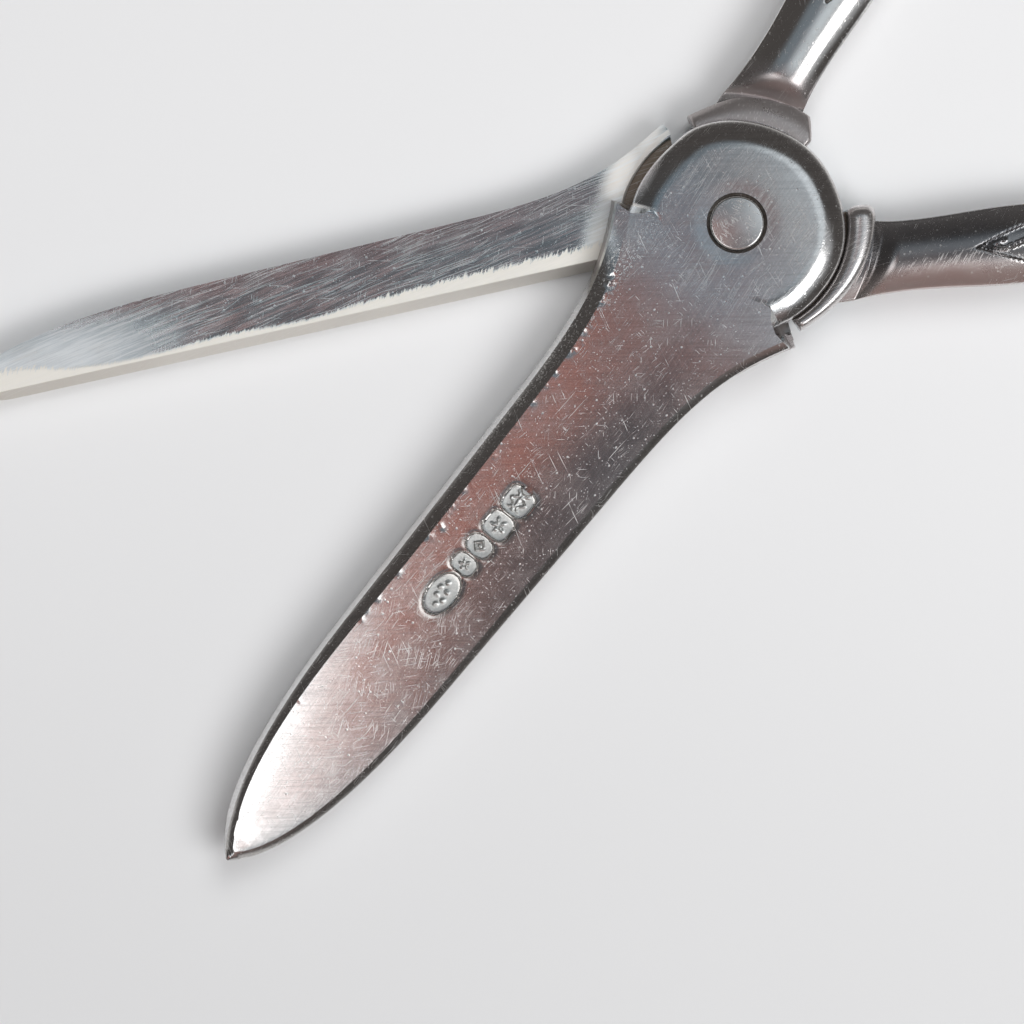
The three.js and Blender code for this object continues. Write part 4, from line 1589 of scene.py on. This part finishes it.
@dataclass(frozen=True)
class Silver:
    """Worn polished silver, in the frame of the arm that it covers; its colour can carry painted
    reflections, painted shade and painted highlights.
    """

    name: str
    turn: float
    color: tuple = (0.80, 0.79, 0.78)
    roughness: float = 0.12
    sets: tuple = ()
    tone_and_sheen_patches: tuple = ()
    tarnish_and_sheen: tuple = ()
    stamps: tuple = ()
    stamp_low: float = 4.3
    worn_edge: WornEdge | None = None
    brush: float = 0.5
    brush_angle: float = 0.0
    grain: tuple = ()
    pits: float = 0.6
    ripple: float = 0.5
    bright: tuple = (0.96, 0.95, 0.93)
    bright_share: float = 0.6
    scratch_dull: float = 0.45
    cloud: tuple = (0.5, 0.47, 0.45)
    cloud_share: float = 0.16
    stamp_fades: tuple = (0.76, 0.9)
    stamp_greys: tuple = ((0.78, 0.8, 0.78), (0.9, 0.91, 0.89))
    stamp_share: float = 0.9
    stamp_dull: float = 0.26
    bloom_fades: tuple = (1.0, 1.55)
    bloom: tuple = (0.36, 0.35, 0.33)
    bloom_share: float = 0.6
    sway_scale: float = 0.12
    sway: float = 0.9
    ripple_scale: float = 0.14
    pit_sizes: tuple = ((2.1, 0.006, 0.82), (4.3, 0.004, 0.76), (7.1, 0.003, 0.76))

    def start(self) -> tuple:
        """Starts the material and gives its coordinates, in millimetres in the arm's own frame."""
        g = Graph(bpy.data.materials.new(self.name))
        where = g.add("ShaderNodeTexCoord").outputs["Object"]
        scaled = g.vector("SCALE", where, scale=1 / MM)
        return g, g.place(scaled, math.degrees(self.turn), (1, 1, 1))

    def wear(self, g: Graph, where: object) -> tuple:
        """Scratches, brushing, pits and ripples.

        Args:
            g: the node tree.
            where: coordinates in millimetres.

        Returns:
            Height in millimetres, and how scratched a place is from 0 to 1.
        """
        drift = {"Vector": where, "Scale": self.sway_scale, "Detail": 1.0}
        bent = g.add("ShaderNodeTexNoise", drift).outputs[1]
        swayed = g.vector("ADD", where, g.vector("SCALE", bent, scale=self.sway))
        height = g.times(g.noise(where, self.ripple_scale, 2), self.ripple * 0.02)
        marks = 0.0
        for i, one in enumerate(self.sets):
            if one.at:
                patch = g.blob(where, one.at, one.radii)
            else:
                patch = g.fade(g.noise(where, 0.3 + 0.07 * i, 1), 0.4, 0.6, 0.2, 1)
            line = g.times(one.lines(g, swayed, 3.7 * i + 1), patch)
            height = g.math("MULTIPLY_ADD", line, -one.depth, height)
            marks = g.math("MAXIMUM", marks, g.times(line, one.show))
        grain = g.noise(g.place(where, self.brush_angle, (0.3, 10, 10)), 1, 3, 0.65)
        height = g.math("MULTIPLY_ADD", grain, self.brush * 0.0025, height)
        for scale, deep, rare in self.pit_sizes:
            away, chance, _ = g.cells(where, scale, plan=False)
            pit = g.times(g.fade(away, 0.08, 0.24, 1, 0), g.fade(chance, rare, rare + 0.02))
            height = g.math("MULTIPLY_ADD", pit, -deep * self.pits, height)
            marks = g.math("MAXIMUM", marks, g.times(pit, self.pits))
        return height, marks

    def tone(self, g: Graph, where: object, marks: object) -> tuple:
        """Colour, roughness and how matte a worn surface is, with its painted reflections, shade
        and highlights.

        Args:
            g: the node tree.
            where: coordinates in millimetres.
            marks: how scratched a place is.

        Returns:
            Colour, roughness and chalkiness.
        """
        color, rough, matte = self.color, self.roughness, 0.0

        def dull(mask: object, layer: ToningAndSheen | TarnishAndSheen | WornEdge) -> None:
            """Makes the metal as dull and as chalky as a layer is."""
            nonlocal rough, matte
            rough = g.math("MULTIPLY_ADD", mask, layer.dull, rough)
            matte = g.math("MAXIMUM", g.times(mask, layer.matte), matte)

        # Patches of toning and of painted reflection, painted shade and painted highlight.
        for one in self.tone_and_sheen_patches:
            mask = g.times(g.blob(where, one.at, one.radii, one.angle, one.soft), one.share)
            color = g.blend(mask, color, one.color)
            dull(mask, one)
        cloud = g.fade(g.noise(where, 0.45, 3, 0.6), 0.35, 0.7)
        color = g.blend(g.times(cloud, self.cloud_share), color, self.cloud)
        for angle, tint, share, fine in self.grain:
            along = g.place(where, angle, (0.1 * fine, 2.6 * fine, 1))
            lines = g.fade(g.noise(along, 1, 5, 0.75), 0.46, 0.6)
            color = g.blend(g.times(lines, share), color, tint)
        if self.worn_edge:
            strip, wall = self.worn_edge.masks(g, where)
            color = g.blend(g.times(strip, self.worn_edge.share), color, self.worn_edge.color)
            dull(strip, self.worn_edge)
            # Painted reflection of the pale table on the slanted wall.
            color = g.blend(wall, color, self.worn_edge.wall_reflection)
            matte = g.math("MINIMUM", matte, g.math("SUBTRACT", 1.0, g.times(wall, 0.7)))
        if self.stamps:
            color, rough = self.stamp(g, where, color, rough)
        # Rings of oxide, painted shade and painted reflection.
        for one in self.tarnish_and_sheen:
            mask = one.mask(g, where)
            color = g.blend(mask, color, one.color)
            dull(mask, one)
        color = g.blend(g.times(marks, self.bright_share), color, self.bright)
        rough = g.math("MULTIPLY_ADD", marks, self.scratch_dull, rough)
        return color, g.math("MULTIPLY_ADD", cloud, 0.04, rough), matte

    def stamp(self, g: Graph, where: object, color: object, rough: object) -> tuple:
        """The struck marks' grey matte fields and the dark bloom round them."""
        parts = g.parts(where)
        field, bloom = 0.0, 0.0
        for one in self.stamps:
            sides = []
            for part, at, half in ((0, one.at, one.half_long), (1, one.across, one.half_wide)):
                gap = g.math("DIVIDE", g.math("SUBTRACT", parts[part], at), half)
                sides.append(g.math("POWER", g.math("ABSOLUTE", gap), one.roundness))
            far = g.math("POWER", g.math("ADD", *sides), 1 / one.roundness)
            field = g.math("MAXIMUM", field, g.fade(far, *self.stamp_fades, 1, 0))
            bloom = g.math("MAXIMUM", bloom, g.fade(far, *self.bloom_fades, 1, 0))
        over = g.fade(parts[2], self.stamp_low - 0.2, self.stamp_low)
        field, bloom = g.times(field, over), g.times(bloom, over)
        color = g.blend(g.times(bloom, self.bloom_share), color, self.bloom)
        grey = g.blend(g.fade(g.noise(where, 5, 2), 0.45, 0.62), *self.stamp_greys)
        color = g.blend(g.times(field, self.stamp_share), color, grey)
        return color, g.math("MULTIPLY_ADD", field, self.stamp_dull, rough)

    def build(self) -> bpy.types.Material:
        """Builds the material."""
        g, where = self.start()
        height, marks = self.wear(g, where)
        color, rough, matte = self.tone(g, where, marks)
        bump = g.add("ShaderNodeBump", {"Height": height, "Distance": MM, "Strength": 1.0})
        return g.surface(
            {
                "Base Color": color,
                "Roughness": rough,
                "Metallic": g.math("SUBTRACT", 1.0, matte),
                "Normal": bump.outputs[0],
            }
        )


# Patches in plan that scratches keep to: middle, then half sizes.
DISC = ((0, 0), (6.8, 6.8))
HEEL = ((-8.0, -4.6), (2.2, 4.5))
CREASE = ((16, -5.0), (12, 1.1))
TIP = ((46, 0.6), (11, 5))
PANEL_EDGE = ((-15.6, 6.2), (4.2, 0.55))
# Colour of thin bright lines painted on as highlights.
GLINT = (1.0, 0.97, 0.93)
WHITE = (0.99, 0.99, 0.99)


@dataclass(frozen=True)
class Finishes:
    """The metal of each piece. Places are in millimetres in the frame of the piece's arm."""

    joint: LapJoint
    marks: tuple
    ear_reach: float = 11.5

    def groove(self) -> TarnishAndSheen:
        """Dark oxide in the groove round the rivet's head."""
        joint = self.joint
        outer = joint.head_radius + joint.head_groove
        return TarnishAndSheen(joint.head_radius - 0.06, outer + 0.06, -9, joint.thickness - 0.22)

    def laps(self) -> TarnishAndSheen:
        """Dark oxide between the two discs, with painted shade in the recess where the front disc
        overhangs it.
        """
        inner, outer = self.joint.disc_radius - 0.6, self.joint.recess_radius + 0.3
        top = self.joint.blade_height - 0.3
        # Painted shade: dark brown in the recess under the front disc's edge, partly oxide.
        return TarnishAndSheen(inner, outer, 2.0, top, (0.17, 0.12, 0.08), matte=0.6)

    def front_blade(self) -> Silver:
        """The broad blade: bright, with fine scratches in all directions, a spine painted greyer as
        a painted reflection of the dark room, and painted reflections and highlights in patches.
        """
        # A darker brownish grey over the ear walls and the front shoulder, between these heights.
        ears = TarnishAndSheen(
            self.joint.disc_radius, self.ear_reach, 0.5, 4.7, (0.34, 0.3, 0.295), 0.76, 0.2, 0.26
        )
        return Silver(
            "front_blade_metal",
            self.joint.turn(Arm.FRONT),
            stamps=self.marks,
            tarnish_and_sheen=(self.groove(), self.laps(), ears),
            tone_and_sheen_patches=(
                ToningAndSheen((0, 0), (3.6, 3.6), 0, (0.62, 0.55, 0.5), 0.6),
                # Painted reflection: a grey band along the spine side, for the dark room it
                # mirrors.
                ToningAndSheen((20, 3.4), (13, 1.6), 4, (0.5, 0.5, 0.51), 0.8),
                # Painted reflection: a pinkish lit facet at the disc's rim beside the cutting-side
                # ear.
                ToningAndSheen((1.4, -7.7), (1.9, 0.5), 11, (0.8, 0.68, 0.66), 0.8, 0.2, 0.35),
                # Painted reflection: slate blue over the disc, for the room overhead.
                ToningAndSheen((3.6, -1.2), (4.5, 6.5), 0, (0.54, 0.7, 0.8), 0.65),
                # Painted reflection: pinkish brown over the marks and the outer blade.
                ToningAndSheen((34, 0.6), (9, 6), 0, (0.62, 0.56, 0.54), 0.55),
                # Painted highlights: two thin bright lines along the cutting-side ear's edges.
                ToningAndSheen((6.3, -7.85), (2.3, 0.13), 28, GLINT, 0.9, 0.3, 0.7),
                ToningAndSheen((3.94, -7.4), (1.5, 0.13), 114, GLINT, 0.9, 0.3, 0.7),
            ),
            sets=(
                ScratchSet(3, 1.3, 0.035, 0.03, 0.001, show=0.8),
                ScratchSet(-12, 1.1, 0.035, 0.025, 0.001, show=0.8),
                ScratchSet(38, 1.0, 0.035, 0.014, 0.0014, show=0.8),
                ScratchSet(-52, 1.0, 0.035, 0.014, 0.0014, show=0.8),
                ScratchSet(84, 0.7, 0.035, 0.012, 0.0014, show=0.8),
                ScratchSet(-3, 3.8, 0.05, 0.012, 0.0016),
                ScratchSet(63, 2.8, 0.05, 0.01, 0.0016),
                ScratchSet(8, 4.5, 0.035, 0.16, 0.001, *DISC, 0.8),
                ScratchSet(-14, 3.0, 0.03, 0.07, 0.001, *DISC, 0.7),
                ScratchSet(67, 2.4, 0.03, 0.03, 0.001, *DISC, 0.7),
                ScratchSet(30, 0.3, 0.08, 0.09, 0.002, *HEEL),
                ScratchSet(20, 0.3, 0.09, 0.2, 0.004, *CREASE),
                ScratchSet(-50, 0.25, 0.09, 0.2, 0.004, *CREASE),
                ScratchSet(25, 2.2, 0.03, 0.05, 0.001, *TIP, 0.7),
                ScratchSet(-40, 1.6, 0.03, 0.03, 0.001, *TIP, 0.7),
            ),
            brush=0.8,
            grain=((4, WHITE, 0.3, 3.0), (67, WHITE, 0.2, 3.0), (-50, (0.5, 0.5, 0.5), 0.35, 2.6)),
            color=(0.76, 0.75, 0.745),
            scratch_dull=0.34,
        )

    def rear_blade(self) -> Silver:
        """The narrow blade: a dark cool slate colour painted in as the room it reflects, streaked
        along its length, with a cream worn edge.
        """
        recess = self.joint.recess_radius
        # A pale cream ring at the recess's edge on the lap face: painted reflection of the pale
        # table, with some rubbed wear.
        worn = TarnishAndSheen(recess, recess + 0.42, 2.7, 3.4, (0.97, 0.93, 0.88), 0.7, 0.3, 0.6)
        # Painted reflection: pinkish grey on the shoulder bead, for the warm room it mirrors.
        wall = TarnishAndSheen(recess, self.ear_reach, 3.2, 9.0, (0.74, 0.67, 0.65), 0.7, 0.06, 0.08)
        return Silver(
            "rear_blade_metal",
            self.joint.turn(Arm.REAR),
            tarnish_and_sheen=(self.groove(), self.laps(), worn, wall),
            roughness=0.16,
            # Painted reflection: the base colour is a dark slate blue, for the slate room that the
            # flat blade mirrors.
            color=(0.3, 0.42, 0.465),
            grain=((9, (0.9, 0.94, 0.96), 0.6, 1.7), (14, (0.88, 0.92, 0.94), 0.4, 2.4)),
            worn_edge=WornEdge(),
            tone_and_sheen_patches=(
                # Painted reflection: a darker slate band along the blade's back, for the dark room
                # it mirrors.
                ToningAndSheen((30, -4.6), (30, 1.3), 0, (0.4, 0.41, 0.43), 0.9),
                # Pale cream near the joint and the ear: painted reflections of the pale table, with
                # some rubbed wear.
                ToningAndSheen((10.3, -0.6), (1.3, 2.6), -20, (0.95, 0.92, 0.86), 0.8, 0.3, 0.6),
                ToningAndSheen((7.6, -5.7), (2.5, 1.1), 52, (0.95, 0.91, 0.85), 0.95, 0.3, 0.65),
                ToningAndSheen((4.9, -8.2), (2.4, 1.0), 60, (0.92, 0.88, 0.83), 0.85, 0.3, 0.55),
                ToningAndSheen((55, -0.6), (9, 2.6), 3, (0.88, 0.9, 0.92), 0.75, 0.3, 0.5),
            ),
            sets=(
                ScratchSet(9, 8, 0.07, 0.2, 0.0014, show=0.85),
                ScratchSet(13, 4, 0.06, 0.14, 0.0014, show=0.9),
                ScratchSet(3, 5, 0.06, 0.07, 0.0014),
                ScratchSet(24, 3, 0.05, 0.03, 0.0016),
                ScratchSet(70, 0.8, 0.05, 0.02, 0.002),
                ScratchSet(-15, 2.5, 0.05, 0.02, 0.0016),
            ),
            brush=1.2,
            brush_angle=10,
        )

    def handle(self, arm: Arm, tone_and_sheen_patches: tuple, sets: tuple = ()) -> Silver:
        """A handle's metal: few scratches, and patches of painted shade and painted reflection
        along its stem.
        """
        fine = (ScratchSet(0, 1.6, 0.05, 0.04, 0.001), ScratchSet(50, 0.8, 0.05, 0.03, 0.001))
        name, turn = f"{arm.value}_handle_metal", self.joint.turn(arm)
        return Silver(name, turn, sets=(*fine, *sets), tone_and_sheen_patches=tone_and_sheen_patches)

    def front_handle(self) -> Silver:
        """The front handle: painted shade where its stem leaves the shoulder."""
        tone_and_sheen_patches = (
            # Painted shade in the hollow where the stem leaves the shoulder.
            ToningAndSheen((-10.2, -4.2), (1.2, 4.2), 22, (0.34, 0.3, 0.3), 0.85, 0.16, 0.1),
            ToningAndSheen((-8.5, -4.6), (0.7, 3.2), 30, (0.3, 0.26, 0.26), 0.95, 0.2, 0.3),
        )
        return self.handle(Arm.FRONT, tone_and_sheen_patches)

    def rear_handle(self) -> Silver:
        """The rear handle: bands along its stem painted grey, dark and pinkish as painted
        reflections of the room, and a scratched border by its panel.
        """
        tone_and_sheen_patches = (
            # Painted reflections along the rounded stem: grey above, a dark band down its middle
            # and pinkish brown below.
            ToningAndSheen((-15, 3.2), (9, 2), -3, (0.42, 0.41, 0.42), 0.85, 0.06, 0.08),
            ToningAndSheen((-15, 5.1), (9, 1.9), -4, (0.17, 0.17, 0.18), 0.9, 0.05, 0.06),
            ToningAndSheen((-14, 7.7), (6, 1.5), -6, (0.5, 0.38, 0.36), 0.8, 0.2, 0.16),
        )
        sets = (ScratchSet(48, 1.1, 0.09, 0.7, 0.004, *PANEL_EDGE),)
        return self.handle(Arm.REAR, tone_and_sheen_patches, sets)

    def rivet(self) -> Silver:
        """The rivet's heads: hammered, and scratched by cleaning."""
        return Silver(
            "rivet_metal",
            0.0,
            roughness=0.16,
            tarnish_and_sheen=(self.groove(),),
            sets=(
                ScratchSet(20, 0.9, 0.05, 0.12, 0.002),
                ScratchSet(-60, 0.9, 0.05, 0.12, 0.002),
                ScratchSet(75, 0.6, 0.05, 0.1, 0.002),
            ),
            ripple=2.5,
        )


@dataclass(frozen=True)
class Softbox:
    """A square lamp that looks at the shears: direction, distance, size and radiance."""

    name: str
    azimuth: float
    elevation: float
    away: float
    size: float
    radiance: float
    color: tuple = (1.0, 1.0, 1.0)
    glossy: bool = True

    def build(self, target: tuple) -> None:
        """Builds the lamp round a target in millimetres."""
        data = bpy.data.lights.new(self.name, "AREA")
        data.shape = "SQUARE"
        data.size = self.size * MM
        data.energy = self.radiance * math.pi * (self.size * MM) ** 2
        data.color = self.color
        lamp = bpy.data.objects.new(self.name, data)
        aim = Vector(sky(self.azimuth, self.elevation, self.away))
        lamp.location = (Vector((*target, 0)) + aim) * MM
        lamp.rotation_euler = aim.to_track_quat("Z", "Y").to_euler()
        lamp.visible_glossy = self.glossy
        bpy.context.scene.collection.objects.link(lamp)


@dataclass(frozen=True)
class Glow:
    """A soft patch of the room: direction, inner and outer angle from it, and colour."""

    azimuth: float
    elevation: float
    inner: float
    outer: float
    color: tuple


@dataclass(frozen=True)
class Studio:
    """Floor, lights, the room round them and the camera."""

    floor_color: tuple = (0.855, 0.86, 0.868)
    camera_over: tuple = (26.05, 9.585)
    camera_turn: float = 148.11
    camera_height: float = 420.0
    view_width: float = 77.6
    sensor: float = 36.0
    table_half: float = 4000.0
    table_level: float = -0.1
    table_rough: float = 0.55
    fleck: float = 0.985
    # How dark the painted shade makes the table towards the bottom of the view.
    near_shade: float = 0.86
    backdrop: tuple = (0.83, 0.83, 0.83)
    room: tuple = (0.17, 0.2, 0.225)
    walls: tuple = (0.072, 0.066, 0.063)
    horizon: tuple = (0.5, 0.49, 0.48)
    glows: tuple = (
        Glow(62, 46, 14, 30, (0.28, 0.2, 0.185)),
        Glow(118, 56, 13, 27, (0.42, 0.43, 0.44)),
        Glow(17, 85.3, 4.0, 9.2, (0.38, 0.145, 0.11)),
        Glow(81, 87.0, 2.0, 4.5, (0.09, 0.085, 0.09)),
        Glow(95, 79.0, 3.0, 7.5, (0.1, 0.1, 0.105)),
        Glow(353, 75.0, 5.8, 8.2, (2.4, 2.42, 2.42)),
        Glow(177, 70.5, 7.5, 16.5, (0.7, 0.76, 0.8)),
        Glow(185, 86.0, 0.6, 1.6, (0.48, 0.4, 0.41)),
        Glow(20, 72.6, 8.4, 10.8, (2.0, 2.0, 2.0)),
    )
    lamps: tuple = (
        Softbox("key", 118, 56, 620, 230, 4),
        Softbox("table", 118, 56, 620, 400, 3.4, glossy=False),
        Softbox("fill", 215, 62, 620, 340, 3.6, glossy=False),
    )

    def camera(self, level: float) -> None:
        """Puts the camera straight over the shears, at the photograph's framing."""
        data = bpy.data.cameras.new("camera")
        data.sensor_width = self.sensor
        data.lens = self.sensor * (self.camera_height - level) / self.view_width
        data.clip_end = 20
        camera = bpy.data.objects.new("camera", data)
        camera.location = [c * MM for c in (*self.camera_over, self.camera_height)]
        camera.rotation_euler = (0, 0, math.radians(self.camera_turn))
        bpy.context.scene.collection.objects.link(camera)
        bpy.context.scene.camera = camera

    def floor(self) -> None:
        """A wide pale matte table, just under the lowest point of the shears, with painted shade
        that darkens it towards the bottom of the view.
        """
        signs = ((-1, -1), (1, -1), (1, 1), (-1, 1))
        corners = [(x * self.table_half, y * self.table_half, self.table_level) for x, y in signs]
        floor = make_object("floor", np.array(corners), [[0, 1, 2, 3]])
        g = Graph(bpy.data.materials.new("pale_table"))
        where = g.add("ShaderNodeTexCoord").outputs["Object"]
        shades = (self.fleck, self.near_shade)
        dim, shade = (tuple(c * k for c in self.floor_color) for k in shades)
        color = g.blend(g.noise(where, 6, 2), self.floor_color, dim)
        # Painted shade: the table darkens towards the bottom of the view.
        near = g.vector("DOT_PRODUCT", where, (*polar(1, self.camera_turn - 90), 0))
        color = g.blend(g.fade(near, -0.01, 0.07), color, shade)
        floor.data.materials.append(g.surface({"Base Color": color, "Roughness": self.table_rough}))

    def world(self) -> None:
        """The room: even grey with darker and brighter parts, and pale where the camera sees it."""
        world = bpy.data.worlds.new("room")
        bpy.context.scene.world = world
        g = Graph(world)
        toward = g.add("ShaderNodeTexCoord").outputs["Generated"]
        height = g.parts(toward)[2]
        color = g.blend(g.fade(height, 0.2, 0.34), self.horizon, self.walls)
        color = g.blend(g.fade(height, 0.86, 0.965), color, self.room)
        for one in self.glows:
            near = g.vector("DOT_PRODUCT", toward, sky(one.azimuth, one.elevation))
            ends = (math.cos(math.radians(angle)) for angle in (one.outer, one.inner))
            color = g.blend(g.fade(near, *ends), color, one.color)
        seen = g.add("ShaderNodeLightPath").outputs["Is Camera Ray"]
        color = g.blend(seen, color, self.backdrop)
        light = g.add("ShaderNodeBackground", {"Color": color, "Strength": 1.0})
        g.add("ShaderNodeOutputWorld", {"Surface": light.outputs[0]})

    def build(self, level: float) -> None:
        """Builds the whole studio."""
        self.camera(level)
        self.floor()
        self.world()
        for lamp in self.lamps:
            lamp.build(self.camera_over)


def main() -> None:
    """Loads the frame, builds and dresses every piece, then the studio."""
    logging.basicConfig(level=logging.INFO, format="%(message)s")
    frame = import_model()
    bpy.context.view_layer.update()
    nodes = frame["nodes"]

    def reach(name: str) -> float:
        """Largest distance of a node's points from the pivot axis, in millimetres."""
        return max(v.co.xy.length for v in nodes[name].data.vertices) / MM

    low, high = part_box("pivot_rivet")
    joint = LapJoint(thickness=(high[2] - low[2]) / MM)
    outline = BladeOutline(length=reach("front_blade"))
    front, rear = FrontBlade(joint, outline), RearBlade(joint, outline)
    upper_handle = Handle(joint, Arm.FRONT, 108.0, 3.79, front.shoulder, REAR_EAR.angle)
    lower_handle = Handle(joint, Arm.REAR, 108.0, 4.34, rear.shoulder, FLANGE_EAR.angle)
    metals = Finishes(joint, front.marks)
    pieces = (
        (front, metals.front_blade(), "front_blade", Arm.FRONT, "blade_silver"),
        (rear, metals.rear_blade(), "rear_blade", Arm.REAR, "blade_silver"),
        (upper_handle, metals.front_handle(), "front_handle", Arm.FRONT, "handle_silver"),
        (lower_handle, metals.rear_handle(), "rear_handle", Arm.REAR, "handle_silver"),
        (Rivet(joint), metals.rivet(), "pivot_rivet", Arm.REAR, "rivet_silver"),
    )
    for part, metal, node, arm, slot in pieces:
        piece = part.build()
        piece.data.materials.clear()
        piece.data.materials.append(metal.build())
        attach(piece, arm.body)
        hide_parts(node)
        LOG.info("%s: %d faces", piece.name, len(piece.data.polygons))
    Studio().build(joint.thickness)
    scene = bpy.context.scene
    scene.view_settings.view_transform = "Standard"
    bpy.context.view_layer.update()


if __name__ == "__main__":
    main()
